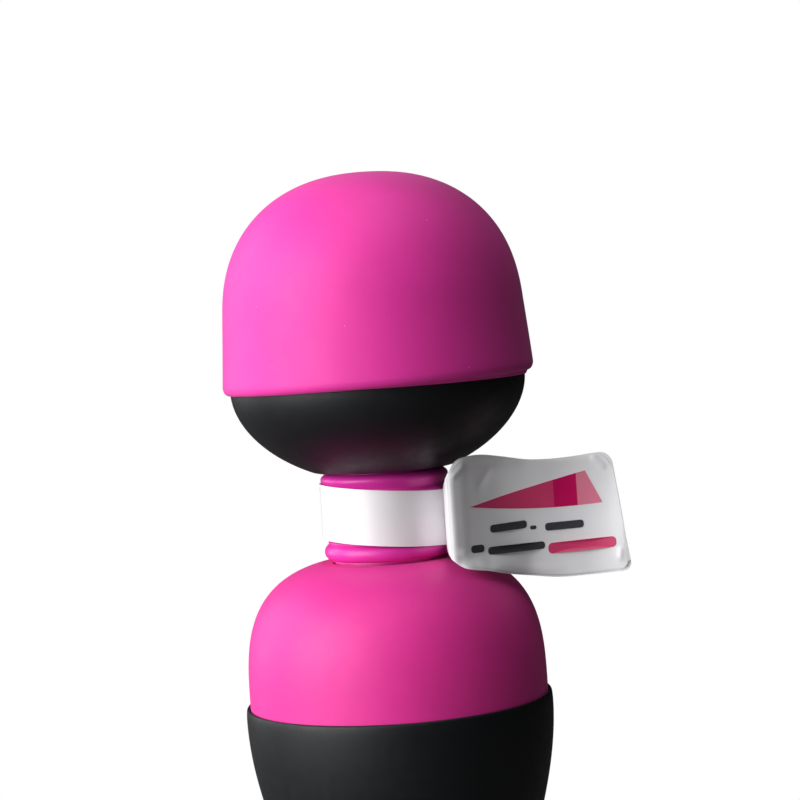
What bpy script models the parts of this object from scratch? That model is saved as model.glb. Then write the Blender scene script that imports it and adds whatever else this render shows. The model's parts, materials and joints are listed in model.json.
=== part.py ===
"""Handheld wand massager: cordless handle, flexible neck and vibrating head with a pull-off cap.

Every dimension is in millimetres and every body is written in metres. The foot's underside is
at height 0, Z is the wand's axis, the label's flag points along +X, and the buttons and the
charge socket are at the back, on +Y.
"""

import math

import bmesh
import bpy
from mathutils import Matrix, Vector

MM = 0.001
GAP = 0.3
BIG = 32
MEDIUM = 20
SMALL = 14
TINY = 8

# Driving dimensions
HEIGHT = 180.0
WALL = 2.0

CAP_HALF_WIDTH = 22.45
CAP_RISE = 21.12
CAP_CENTRE = HEIGHT - CAP_RISE
CAP_POWER = 2.31
CAP_TAPER = 0.0775
CAP_RIM_Z = 146.0
CAP_WALL = 3.0
RIM_BORE = 23.9

BOWL_RADIUS = 23.68
BOWL_DEPTH = 15.85
BOWL_CENTRE = 146.1
BOWL_POWER = 1.875
BOWL_TOP_Z = 147.2
BOWL_SEAT_RADIUS = 11.2

DOME_FLANGE_RADIUS = 23.6
DOME_BASE_Z = 147.5
DOME_FLANGE_TOP_Z = 149.0
DOME_SCREW_CIRCLE = 17.6
DOME_SCREW_ANGLES = (90.0, 210.0, 330.0)
POCKET_FLOOR_Z = 152.5

NECK_BORE = 7.3
NECK_STEM = 8.8
NECK_HOLE = 9.1
UPPER_PIVOT_Z = 131.0
LOWER_PIVOT_Z = 118.8
HEAD_HOME = (0.0, 0.0, UPPER_PIVOT_Z)
NECK_HOME = (0.0, 0.0, LOWER_PIVOT_Z)
WORLD_HOME = (0.0, 0.0, 0.0)

TAG_RADIUS = 10.7
TAG_THICKNESS = 0.35
TAG_CENTRE_Z = 125.25
BAND_HALF_HEIGHT = 4.4
TAG_SKEW = 0.095
TAG_STEPS = 24
FLAG_ANGLE = -39.0
# Along the flag: x, y, lower edge and upper edge
FLAG_STATIONS = (
    (9.6, -8.4, 119.4, 129.6),
    (10.4, -12.6, 118.6, 131.6),
    (12.0, -12.2, 118.0, 132.9),
    (13.6, -10.9, 117.6, 133.5),
    (15.6, -9.6, 117.0, 133.6),
    (19.0, -7.6, 115.4, 133.2),
    (22.8, -6.0, 114.2, 132.7),
    (27.0, -5.2, 113.6, 132.5),
    (31.0, -5.1, 113.7, 132.6),
    (37.2, -5.9, 114.2, 132.8),
)

SHOULDER_RADIUS = 24.05
SHOULDER_RISE = 22.45
SHOULDER_CENTRE = 96.0
SHOULDER_POWER = 3.09
SHOULDER_SEAT_RADIUS = 10.6
SKIRT_RADIUS = 22.3
SKIRT_BOTTOM_Z = 87.5
SKIRT_TOP_Z = 94.3

LIP_Z = 95.3
HANDLE_WIDE_Z = 93.6
HANDLE_WIDE_RADIUS = 24.76
WAIST_Z = 50.5
WAIST_RADIUS = 16.8
BASE_WIDE_Z = 12.0
BASE_WIDE_RADIUS = 20.6
BASE_ROUND = 13.5
BASE_POWER = 3.0
SHELL_BOTTOM_Z = 8.0
SHELL_MOUTH = 18.3

BOARD_FACE_Y = 8.4
BOARD_THICKNESS = 1.4
SPINE_Y = 4.8
PLUS_Z = 57.0
MINUS_Z = 44.0
BUTTON_RADIUS = 4.8
BUTTON_PROUD = 0.7
BUTTON_BACK_Y = 11.9
LENS_Z = 66.5

FLAP_HALF_WIDTH = 7.2
FLAP_BOTTOM_Z = 13.5
FLAP_TOP_Z = 22.0
FLAP_HINGE_Y = 20.7
FLAP_THICKNESS = 1.0
SOCKET_Z = 17.6

BATTERY_RADIUS = 9.1
BATTERY_Y = -4.6
BATTERY_BOTTOM_Z = 14.6
BATTERY_LENGTH = 65.0

MOTOR_RADIUS = 12.0
MOTOR_BOTTOM_Z = 142.3
MOTOR_TOP_Z = 161.5
CRADLE_RADIUS = 14.6
CRADLE_SCREW_X = 17.4
CHASSIS_SCREW_X = 16.6

BASE_SCREWS = ((10.5, 4.0), (-10.5, 4.0))

FUCHSIA = (0.73, 0.045, 0.34)
CHARCOAL = (0.012, 0.012, 0.014)
WHITE = (0.80, 0.80, 0.82)
STEEL = (0.55, 0.55, 0.56)
NYLON = (0.10, 0.10, 0.11)
RUBBER = (0.03, 0.03, 0.03)


# Blender helpers

def clear_scene():
    for item in list(bpy.data.objects):
        bpy.data.objects.remove(item, do_unlink=True)


def material_of(name, colour, roughness, metallic=0.0):
    material = bpy.data.materials.new(name)
    material.use_nodes = True
    shader = material.node_tree.nodes["Principled BSDF"]
    shader.inputs["Base Color"].default_value = (*colour, 1.0)
    shader.inputs["Roughness"].default_value = roughness
    shader.inputs["Metallic"].default_value = metallic
    material.diffuse_color = (*colour, 1.0)
    return material


def body_from(name, points, faces, look=None, origin=WORLD_HOME):
    """Make one object from points in millimetres, with its own origin, and face it outward."""
    home = Vector(origin)
    mesh = bpy.data.meshes.new(name)
    mesh.from_pydata([(Vector(point) - home) * MM for point in points], [], faces)
    work = bmesh.new()
    work.from_mesh(mesh)
    bmesh.ops.recalc_face_normals(work, faces=work.faces)
    work.to_mesh(mesh)
    work.free()
    mesh.shade_smooth()
    mesh.set_sharp_from_angle(angle=math.radians(35.0))
    item = bpy.data.objects.new(name, mesh)
    item.location = home * MM
    if look:
        mesh.materials.append(material_of(name, *look))
    bpy.context.scene.collection.objects.link(item)
    return item


def turned(name, outline, look=None, segments=BIG, centre=(0.0, 0.0), origin=WORLD_HOME):
    """Turn a closed outline of (radius, height) points about an upright axis."""
    points = []
    rings = []
    for radius, height in outline:
        if radius < 1e-6:
            rings.append([len(points)] * segments)
            points.append((centre[0], centre[1], height))
            continue
        rings.append(list(range(len(points), len(points) + segments)))
        for step in range(segments):
            angle = 2.0 * math.pi * (step + 0.5) / segments
            points.append((
                centre[0] + radius * math.cos(angle),
                centre[1] + radius * math.sin(angle),
                height,
            ))
    faces = []
    for here, after in zip(rings, rings[1:] + rings[:1]):
        for step in range(segments):
            follow = (step + 1) % segments
            corners = [here[step], here[follow], after[follow], after[step]]
            corners = list(dict.fromkeys(corners))
            if len(corners) > 2:
                faces.append(corners)
    return body_from(name, points, faces, look, origin)


def disc(name, radius, low, high, look=None, segments=SMALL, centre=(0.0, 0.0), bore=0.0,
         origin=WORLD_HOME):
    """Upright cylinder, or a ring where it has a bore."""
    outline = [(bore, low), (radius, low), (radius, high), (bore, high)]
    return turned(name, outline, look, segments, centre, origin)


def lying_rod(name, outline, centre, look=None, segments=SMALL, origin=WORLD_HOME):
    """Turn an outline of (radius, depth) points about an axis along +Y through (x, z)."""
    item = turned(name, outline, look, segments)
    lay_down = Matrix(((1, 0, 0), (0, 0, 1), (0, -1, 0))).to_4x4()
    move = Matrix.Translation(Vector((centre[0], 0.0, centre[1])) * MM - Vector(origin) * MM)
    item.data.transform(move @ lay_down)
    item.location = Vector(origin) * MM
    return item


def block(name, low, high, look=None):
    """Box between two opposite corners."""
    points = [(x, y, z) for x in (low[0], high[0]) for y in (low[1], high[1])
              for z in (low[2], high[2])]
    faces = [(0, 1, 3, 2), (4, 6, 7, 5), (0, 4, 5, 1), (2, 3, 7, 6), (0, 2, 6, 4), (1, 5, 7, 3)]
    return body_from(name, points, faces, look)


def swept_wire(name, path, radius, look, sides, reference):
    """Round wire along a path through the neck, with flat ends."""
    path = [Vector(point) for point in path]
    points = []
    faces = []
    for index, point in enumerate(path):
        before = path[max(index - 1, 0)]
        after = path[min(index + 1, len(path) - 1)]
        along = (after - before).normalized()
        side = along.cross(Vector(reference)).normalized()
        up = side.cross(along)
        for step in range(sides):
            angle = 2.0 * math.pi * step / sides
            points.append(point + (side * math.cos(angle) + up * math.sin(angle)) * radius)
    for ring in range(len(path) - 1):
        for step in range(sides):
            follow = (step + 1) % sides
            low = ring * sides
            faces.append((low + step, low + follow, low + sides + follow, low + sides + step))
    faces.append(tuple(range(sides)))
    faces.append(tuple(range(len(points) - sides, len(points))))
    return body_from(name, points, faces, look, NECK_HOME)


def combine(target, operation, tool):
    """Add or cut a hidden tool, and keep the tool as a guide."""
    tool.hide_render = True
    tool.display_type = "WIRE"
    modifier = target.modifiers.new(tool.name, "BOOLEAN")
    modifier.operation = operation
    modifier.object = tool
    modifier.solver = "EXACT"


def join(target, tool):
    combine(target, "UNION", tool)


def cut(target, tool):
    combine(target, "DIFFERENCE", tool)


# Outlines

def arc_points(radius, rise, power, centre, first, last, steps):
    """Superellipse points (radius, height) between two angles, in degrees above its widest."""
    points = []
    for step in range(steps + 1):
        angle = math.radians(first + (last - first) * step / steps)
        across = max(math.cos(angle), 0.0) ** (2.0 / power)
        upward = math.sin(angle) ** (2.0 / power)
        points.append((radius * across, centre + rise * upward))
    return points


def seat_angle(radius, seat, power):
    """Angle, in degrees, at which a superellipse has narrowed to a seat's radius."""
    return math.degrees(math.acos((seat / radius) ** (power / 2.0)))


def head_curve(inset, bottom, steps):
    """The head's form moved inward, from its lower edge up to the tip."""
    tip = HEIGHT - inset
    curve = arc_points(CAP_HALF_WIDTH - inset, CAP_RISE - inset, CAP_POWER, CAP_CENTRE, 0.0, 90.0, steps)
    curve = [(CAP_HALF_WIDTH - inset, bottom)] + curve
    curve = [(radius + CAP_TAPER * (tip - height), height) for radius, height in curve]
    curve[-1] = (0.0, tip)
    return curve


def bowl_curve(inset, seat, steps):
    """The lower bowl's form moved inward, from its widest down to a seat."""
    radius = BOWL_RADIUS - inset
    last = seat_angle(radius, seat, BOWL_POWER)
    return arc_points(radius, inset - BOWL_DEPTH, BOWL_POWER, BOWL_CENTRE, 0.0, last, steps)


def shoulder_curve(inset, seat, steps):
    """The shoulder's form moved inward, from its widest up to a seat."""
    radius = SHOULDER_RADIUS - inset
    last = seat_angle(radius, seat, SHOULDER_POWER)
    return arc_points(radius, SHOULDER_RISE - inset, SHOULDER_POWER, SHOULDER_CENTRE, 0.0, last, steps)


def handle_radius(height):
    """Outer radius of the handle: full at the lip, narrow at the waist, full at the base."""
    if height >= WAIST_Z:
        reach = (HANDLE_WIDE_RADIUS - WAIST_RADIUS) / 2.0
        turn = (height - WAIST_Z) / (HANDLE_WIDE_Z - WAIST_Z)
        return WAIST_RADIUS + reach * (1.0 - math.cos(math.pi * turn))
    if height >= BASE_WIDE_Z:
        reach = (BASE_WIDE_RADIUS - WAIST_RADIUS) / 2.0
        turn = (WAIST_Z - height) / (WAIST_Z - BASE_WIDE_Z)
        return WAIST_RADIUS + reach * (1.0 - math.cos(math.pi * turn))
    drop = (BASE_WIDE_Z - height) / BASE_ROUND
    return BASE_WIDE_RADIUS * (1.0 - drop ** BASE_POWER) ** (1.0 / BASE_POWER)


def spread(low, high, steps):
    return [low + (high - low) * step / steps for step in range(steps + 1)]


# Head

def make_massage_cap():
    outer = head_curve(0.0, CAP_RIM_Z + 1.0, 8)
    inner = head_curve(CAP_WALL, DOME_FLANGE_TOP_Z + GAP, 5)
    rim = outer[0][0]
    outline = [
        (RIM_BORE, DOME_FLANGE_TOP_Z + GAP),
        (RIM_BORE, CAP_RIM_Z),
        (rim - 0.6, CAP_RIM_Z),
        (rim - 0.15, CAP_RIM_Z + 0.35),
        *outer,
        *reversed(inner),
    ]
    return turned("massage_cap", outline, (FUCHSIA, 0.55), origin=HEAD_HOME)


def make_head_dome():
    outer = head_curve(CAP_WALL + 0.25, DOME_FLANGE_TOP_Z, 5)
    inner = head_curve(CAP_WALL + 0.25 + WALL, DOME_BASE_Z, 4)
    outline = [
        (DOME_FLANGE_RADIUS, DOME_BASE_Z),
        (DOME_FLANGE_RADIUS, DOME_FLANGE_TOP_Z),
        *outer,
        *reversed(inner),
    ]
    dome = turned("head_dome", outline, (CHARCOAL, 0.45), origin=HEAD_HOME)
    for index, angle in enumerate(DOME_SCREW_ANGLES):
        centre = on_circle(DOME_SCREW_CIRCLE, angle)
        join(dome, disc(f"dome_boss_{index}", 2.8, DOME_BASE_Z, POCKET_FLOOR_Z + 2.0, None, TINY, centre))
    for index, angle in enumerate(DOME_SCREW_ANGLES):
        centre = on_circle(DOME_SCREW_CIRCLE, angle)
        pocket = [(0.0, 146.0), (1.4, 146.0), (1.4, POCKET_FLOOR_Z), (2.3, POCKET_FLOOR_Z),
                  (2.3, 172.0), (0.0, 172.0)]
        cut(dome, turned(f"dome_pocket_{index}", pocket, None, TINY, centre))
    return dome


def on_circle(radius, angle):
    turn = math.radians(angle)
    return (radius * math.cos(turn), radius * math.sin(turn))


def make_head_screws():
    for index, angle in enumerate(DOME_SCREW_ANGLES):
        head = POCKET_FLOOR_Z + 0.1
        outline = [(0.0, 143.0), (0.8, 143.4), (1.1, 144.2), (1.1, head), (2.0, head),
                   (2.0, head + 1.0), (1.4, head + 1.5), (0.0, head + 1.6)]
        centre = on_circle(DOME_SCREW_CIRCLE, angle)
        turned(f"head_screw_{index + 1}", outline, (STEEL, 0.35, 1.0), TINY, centre, HEAD_HOME)


def make_head_bowl():
    outer = bowl_curve(0.0, BOWL_SEAT_RADIUS, 6)
    inner = bowl_curve(WALL, NECK_HOLE, 4)
    outline = [
        (NECK_HOLE, outer[-1][1]),
        *reversed(outer),
        (BOWL_RADIUS, BOWL_TOP_Z),
        (23.0, BOWL_TOP_Z),
        (23.0, BOWL_CENTRE + 0.2),
        (BOWL_RADIUS - WALL, BOWL_CENTRE + 0.2),
        *inner,
    ]
    bowl = turned("head_bowl", outline, (CHARCOAL, 0.45), origin=HEAD_HOME)
    middle = bowl_curve(WALL / 2.0, 6.0, 6)
    fill = turned("bowl_fill", [(0.0, 150.0), (middle[0][0], 150.0), *middle, (0.0, middle[-1][1])])
    posts = []
    for index, angle in enumerate(DOME_SCREW_ANGLES):
        centre = on_circle(DOME_SCREW_CIRCLE, angle)
        posts.append(disc(f"bowl_post_{index}", 2.6, 133.0, BOWL_TOP_Z, None, TINY, centre))
    for side in (-1, 1):
        posts.append(disc(f"cradle_post_{side + 1}", 2.2, 133.0, 143.2, None, TINY, (CRADLE_SCREW_X * side, 0.0)))
    for post in posts:
        combine(post, "INTERSECT", fill)
        join(bowl, post)
    for index, angle in enumerate(DOME_SCREW_ANGLES):
        hole = disc(f"bowl_hole_{index}", 1.4, 142.0, 149.0, None, TINY, on_circle(DOME_SCREW_CIRCLE, angle))
        cut(bowl, hole)
    for side in (-1, 1):
        cut(bowl, disc(f"cradle_hole_{side + 1}", 1.1, 139.8, 145.0, None, TINY, (CRADLE_SCREW_X * side, 0.0)))
    return bowl


def make_head_seal():
    outline = [(21.95, 146.6), (22.7, 146.6), (22.7, 147.1), (22.35, 147.3), (21.95, 147.1)]
    turned("head_seal", outline, (RUBBER, 0.6), MEDIUM, origin=HEAD_HOME)


def make_motor():
    can = [(0.0, MOTOR_TOP_Z), (MOTOR_RADIUS - 0.6, MOTOR_TOP_Z), (MOTOR_RADIUS, MOTOR_TOP_Z - 0.6),
           (MOTOR_RADIUS, MOTOR_BOTTOM_Z), (MOTOR_RADIUS - 0.8, MOTOR_BOTTOM_Z),
           (MOTOR_RADIUS - 0.8, MOTOR_TOP_Z - 0.8), (0.0, MOTOR_TOP_Z - 0.8)]
    shell = turned("motor_can", can, ((0.6, 0.6, 0.6), 0.35, 1.0), MEDIUM, origin=HEAD_HOME)
    cut(shell, disc("motor_can_hole", 1.5, 159.0, 163.0))
    disc("motor_magnet", 10.9, 145.0, 158.5, ((0.05, 0.05, 0.055), 0.7), MEDIUM, bore=9.3, origin=HEAD_HOME)
    disc("motor_end_cap", 11.6, 140.3, 142.0, ((0.7, 0.68, 0.6), 0.5), MEDIUM, bore=1.4, origin=HEAD_HOME)
    disc("motor_bush", 2.6, MOTOR_TOP_Z + 0.2, 163.2, ((0.55, 0.4, 0.15), 0.4, 1.0), SMALL, bore=1.06,
         origin=HEAD_HOME)


def make_rotor():
    disc("motor_shaft", 1.0, 140.6, 171.6, (STEEL, 0.25, 1.0), TINY, origin=(0.0, 0.0, 150.0))
    rim = []
    for pole in range(3):
        for angle, radius in ((-48.0, 8.8), (-16.0, 8.8), (16.0, 8.8), (48.0, 8.8), (52.0, 6.8), (60.0, 3.4),
                              (68.0, 6.8)):
            turn = math.radians(angle + 120.0 * pole)
            rim.append((radius * math.cos(turn), radius * math.sin(turn)))
    plate("motor_armature", rim, 146.0, 157.5, ((0.45, 0.25, 0.12), 0.4, 1.0), 1.3)
    disc("commutator", 2.6, 143.0, 145.6, ((0.72, 0.35, 0.18), 0.3, 1.0), SMALL, bore=1.3)
    arc = [(12.2 * math.cos(math.radians(angle)), 12.2 * math.sin(math.radians(angle)))
           for angle in range(-85, 86, 17)]
    weight = arc + [(-1.0, 3.4), (-2.8, 2.0), (-2.8, -2.0), (-1.0, -3.4)]
    plate("eccentric_weight", weight, 163.9, 169.9, ((0.5, 0.42, 0.25), 0.35, 1.0), 1.3)


def plate(name, rim, low, high, look, bore):
    """Upright plate with a given rim and a small round hole on the axis."""
    count = len(rim)
    points = [(x, y, low) for x, y in rim] + [(x, y, high) for x, y in rim]
    faces = [tuple(range(count)), tuple(range(count, 2 * count))]
    for step in range(count):
        follow = (step + 1) % count
        faces.append((step, follow, count + follow, count + step))
    item = body_from(name, points, faces, look, (0.0, 0.0, (low + high) / 2.0))
    cut(item, disc(f"{name}_bore", bore, low - 1.0, high + 1.0, None, TINY))
    return item


def make_motor_mounting():
    disc("motor_cushion", 13.1, 143.0, 152.0, (RUBBER, 0.7), MEDIUM, bore=12.25, origin=HEAD_HOME)
    outline = [(4.5, 138.6), (13.0, 138.6), (CRADLE_RADIUS, 140.4), (CRADLE_RADIUS, 150.0), (13.35, 150.0),
               (13.35, 141.2), (12.4, 139.9), (4.5, 139.9)]
    cradle = turned("motor_cradle", outline, (NYLON, 0.5), MEDIUM, origin=HEAD_HOME)
    for side in (-1, 1):
        inner, outer = sorted((13.9 * side, 19.0 * side))
        join(cradle, block(f"cradle_ear_{side + 1}", (inner, -2.4, 143.5), (outer, 2.4, 145.0)))
    for side in (-1, 1):
        cut(cradle, disc(f"ear_hole_{side + 1}", 1.1, 142.0, 146.0, None, TINY, (CRADLE_SCREW_X * side, 0.0)))
        outline = [(0.0, 140.2), (0.8, 140.6), (0.8, 145.2), (1.7, 145.2), (1.7, 146.0), (0.0, 146.5)]
        screw = f"cradle_screw_{1 if side < 0 else 2}"
        turned(screw, outline, (STEEL, 0.35, 1.0), TINY, (CRADLE_SCREW_X * side, 0.0), HEAD_HOME)


# Neck

def make_neck():
    sleeve = [
        (NECK_BORE, 113.2), (11.2, 113.2), (11.2, 115.1), (NECK_STEM, 115.1), (NECK_STEM, 118.15),
        (9.6, 118.15), (10.15, 118.6), (10.35, 119.6), (10.15, 120.6), (9.8, 121.1), (9.8, 121.4),
        (10.3, 121.7), (10.3, 129.3), (9.7, 129.6), (9.7, 130.3), (10.25, 130.8), (10.25, 131.5),
        (9.5, 132.15), (NECK_STEM, 132.15), (NECK_STEM, 135.2), (10.7, 135.2), (10.7, 136.4),
        (NECK_BORE, 136.4),
    ]
    turned("neck_sleeve", sleeve, (FUCHSIA, 0.4), MEDIUM, origin=NECK_HOME)
    disc("lower_neck_collar", 11.8, 111.5, 112.9, (NYLON, 0.5), MEDIUM, bore=7.4)
    disc("upper_neck_collar", 12.0, 136.7, 138.3, (NYLON, 0.5), MEDIUM, bore=7.4, origin=HEAD_HOME)
    turns = 6
    per_turn = 12
    coil = []
    for step in range(turns * per_turn + 1):
        angle = 2.0 * math.pi * step / per_turn
        height = 112.2 + (137.6 - 112.2) * step / (turns * per_turn)
        coil.append((6.1 * math.cos(angle), 6.1 * math.sin(angle), height))
    swept_wire("neck_spring", coil, 0.7, (STEEL, 0.3, 1.0), 5, (0.0, 0.0, 1.0))


def make_neck_tag():
    """Film label: an open ring round the neck whose end stands out as a flag."""
    stations = []
    for step in range(TAG_STEPS + 1):
        angle = FLAG_ANGLE + 350.0 * (1.0 - step / TAG_STEPS)
        x, y = on_circle(TAG_RADIUS, angle)
        centre = TAG_CENTRE_Z - TAG_SKEW * x
        stations.append((x, y, centre - BAND_HALF_HEIGHT, centre + BAND_HALF_HEIGHT))
    stations.extend(FLAG_STATIONS)
    ribbon("neck_tag", stations, TAG_THICKNESS, (WHITE, 0.35))


def ribbon(name, stations, thickness, look):
    """Upright strip through (x, y, lower edge, upper edge) stations."""
    points = []
    faces = []
    for index, (x, y, lower, upper) in enumerate(stations):
        before = stations[max(index - 1, 0)]
        after = stations[min(index + 1, len(stations) - 1)]
        along = Vector((after[0] - before[0], after[1] - before[1])).normalized()
        side = Vector((-along.y, along.x)) * thickness / 2.0
        for sign in (-1, 1):
            for height in (lower, upper):
                points.append((x + side.x * sign, y + side.y * sign, height))
    for ring in range(len(stations) - 1):
        low = ring * 4
        for first, second in ((0, 1), (1, 3), (3, 2), (2, 0)):
            faces.append((low + first, low + second, low + 4 + second, low + 4 + first))
    faces.append((0, 1, 3, 2))
    last = 4 * (len(stations) - 1)
    faces.append((last, last + 1, last + 3, last + 2))
    return body_from(name, points, faces, look, NECK_HOME)


def make_motor_leads():
    for name, side, colour in (("motor_lead_red", -1, (0.6, 0.02, 0.02)), ("motor_lead_black", 1, (0.02, 0.02, 0.02))):
        start = Vector((2.2 * side, BOARD_FACE_Y - BOARD_THICKNESS / 2.0, 76.6))
        path = []
        for share in spread(0.0, 1.0, 10):
            inward = 0.5 - 0.5 * math.cos(math.pi * min(share / 0.45, 1.0))
            path.append((start.x, start.y * (1.0 - 0.85 * inward), start.z + (140.0 - start.z) * share))
        swept_wire(name, path, 0.6, (colour, 0.5), 6, (1.0, 0.0, 0.0))


# Shoulder and handle

def make_shoulder_cover():
    outer = shoulder_curve(0.0, SHOULDER_SEAT_RADIUS, 7)
    inner = shoulder_curve(WALL, NECK_HOLE + 2.4, 4)
    outline = [
        (SKIRT_RADIUS, SKIRT_BOTTOM_Z),
        (SKIRT_RADIUS, SKIRT_TOP_Z),
        (SHOULDER_RADIUS, SKIRT_TOP_Z),
        *outer,
        (NECK_HOLE, outer[-1][1]),
        (NECK_HOLE, inner[-1][1] + 0.1),
        *reversed(inner),
        (SHOULDER_RADIUS - WALL - 1.6, SHOULDER_CENTRE - 2.0),
        (SHOULDER_RADIUS - WALL - 1.6, SKIRT_BOTTOM_Z),
    ]
    cover = turned("shoulder_cover", outline, (FUCHSIA, 0.5))
    for side in (-1, 1):
        join(cover, disc(f"cover_post_{side + 1}", 2.8, 87.2, 111.6, None, SMALL, (CHASSIS_SCREW_X * side, 0.0)))
    for side in (-1, 1):
        cut(cover, disc(f"cover_hole_{side + 1}", 1.3, 85.0, 95.0, None, TINY, (CHASSIS_SCREW_X * side, 0.0)))
    return cover


def make_shoulder_seal():
    disc("shoulder_seal", SKIRT_RADIUS - 0.2, SKIRT_BOTTOM_Z - 1.1, SKIRT_BOTTOM_Z - 0.3,
         (RUBBER, 0.6), BIG, bore=20.6)


def make_handle_shell():
    outer = [(handle_radius(height), height) for height in spread(SHELL_BOTTOM_Z, HANDLE_WIDE_Z, 12)]
    inner = [(handle_radius(height) - WALL, height) for height in spread(15.0, SKIRT_BOTTOM_Z - 1.4, 7)]
    lip = [(HANDLE_WIDE_RADIUS - 0.08, LIP_Z - 0.8), (HANDLE_WIDE_RADIUS - 0.28, LIP_Z - 0.15),
           (HANDLE_WIDE_RADIUS - 0.42, LIP_Z)]
    outline = [
        (SHELL_MOUTH, SHELL_BOTTOM_Z),
        *outer,
        *lip,
        (SHOULDER_RADIUS + 0.2, LIP_Z),
        (SHOULDER_RADIUS + 0.2, SKIRT_TOP_Z - GAP),
        (SKIRT_RADIUS + 0.25, SKIRT_TOP_Z - GAP),
        (SKIRT_RADIUS + 0.25, SKIRT_BOTTOM_Z - 0.3),
        (inner[-1][0], SKIRT_BOTTOM_Z - 1.4),
        *reversed(inner[:-1]),
        (SHELL_MOUTH, 13.6),
    ]
    shell = turned("handle_shell", outline, (CHARCOAL, 0.5))
    for name, height in (("plus", PLUS_Z), ("minus", MINUS_Z)):
        hole = [(0.0, 8.0), (BUTTON_RADIUS + GAP, 8.0), (BUTTON_RADIUS + GAP, 24.0), (0.0, 24.0)]
        cut(shell, lying_rod(f"{name}_hole", hole, (0.0, height)))
    hole = [(0.0, 8.0), (1.5, 8.0), (1.5, 24.0), (0.0, 24.0)]
    cut(shell, lying_rod("lens_hole", hole, (0.0, LENS_Z), None, TINY))
    recess = [(handle_radius(height) - FLAP_THICKNESS - GAP, height)
              for height in spread(FLAP_BOTTOM_Z - GAP, FLAP_TOP_Z + 0.5, 4)]
    outline = [*recess, (26.0, recess[-1][1]), (26.0, recess[0][1])]
    cutter = turned("flap_recess", outline, None, BIG)
    side = FLAP_HALF_WIDTH + GAP
    combine(cutter, "INTERSECT", block("flap_window", (-side, 14.0, 10.0), (side, 27.0, 26.0)))
    cut(shell, cutter)
    cut(shell, block("port_slot", (-4.9, 12.0, SOCKET_Z - 1.9), (4.9, 24.0, SOCKET_Z + 2.0)))
    return shell


def make_port_flap():
    """Soft flap over the charge socket, hinged along its lower edge."""
    heights = spread(FLAP_BOTTOM_Z, FLAP_TOP_Z, 4)
    front = [(handle_radius(height), height) for height in heights]
    back = [(radius - FLAP_THICKNESS, height) for radius, height in front]
    hinge = (0.0, FLAP_HINGE_Y, FLAP_BOTTOM_Z)
    flap = turned("port_flap", front + back[::-1], (CHARCOAL, 0.6), BIG, origin=hinge)
    side = FLAP_HALF_WIDTH
    combine(flap, "INTERSECT", block("flap_outline", (-side, 14.0, 10.0), (side, 27.0, 26.0)))
    join(flap, block("flap_plug", (-3.9, 17.9, 16.4), (3.9, 20.2, 18.3)))
    return flap


def make_buttons():
    for name, height in (("plus_button", PLUS_Z), ("minus_button", MINUS_Z)):
        outline = [(0.0, BUTTON_BACK_Y), (5.6, BUTTON_BACK_Y), (5.6, BUTTON_BACK_Y + 0.8),
                   (BUTTON_RADIUS, BUTTON_BACK_Y + 0.8), (BUTTON_RADIUS, 24.0), (0.0, 24.0)]
        home = (0.0, BUTTON_BACK_Y, height)
        button = lying_rod(name, outline, (0.0, height), (FUCHSIA, 0.5), SMALL, home)
        skin = [(handle_radius(level) + BUTTON_PROUD, level) for level in spread(height - 8.0, height + 8.0, 4)]
        outline = [(0.0, skin[0][1]), *skin, (0.0, skin[-1][1])]
        combine(button, "INTERSECT", turned(f"{name}_face", outline))


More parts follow.
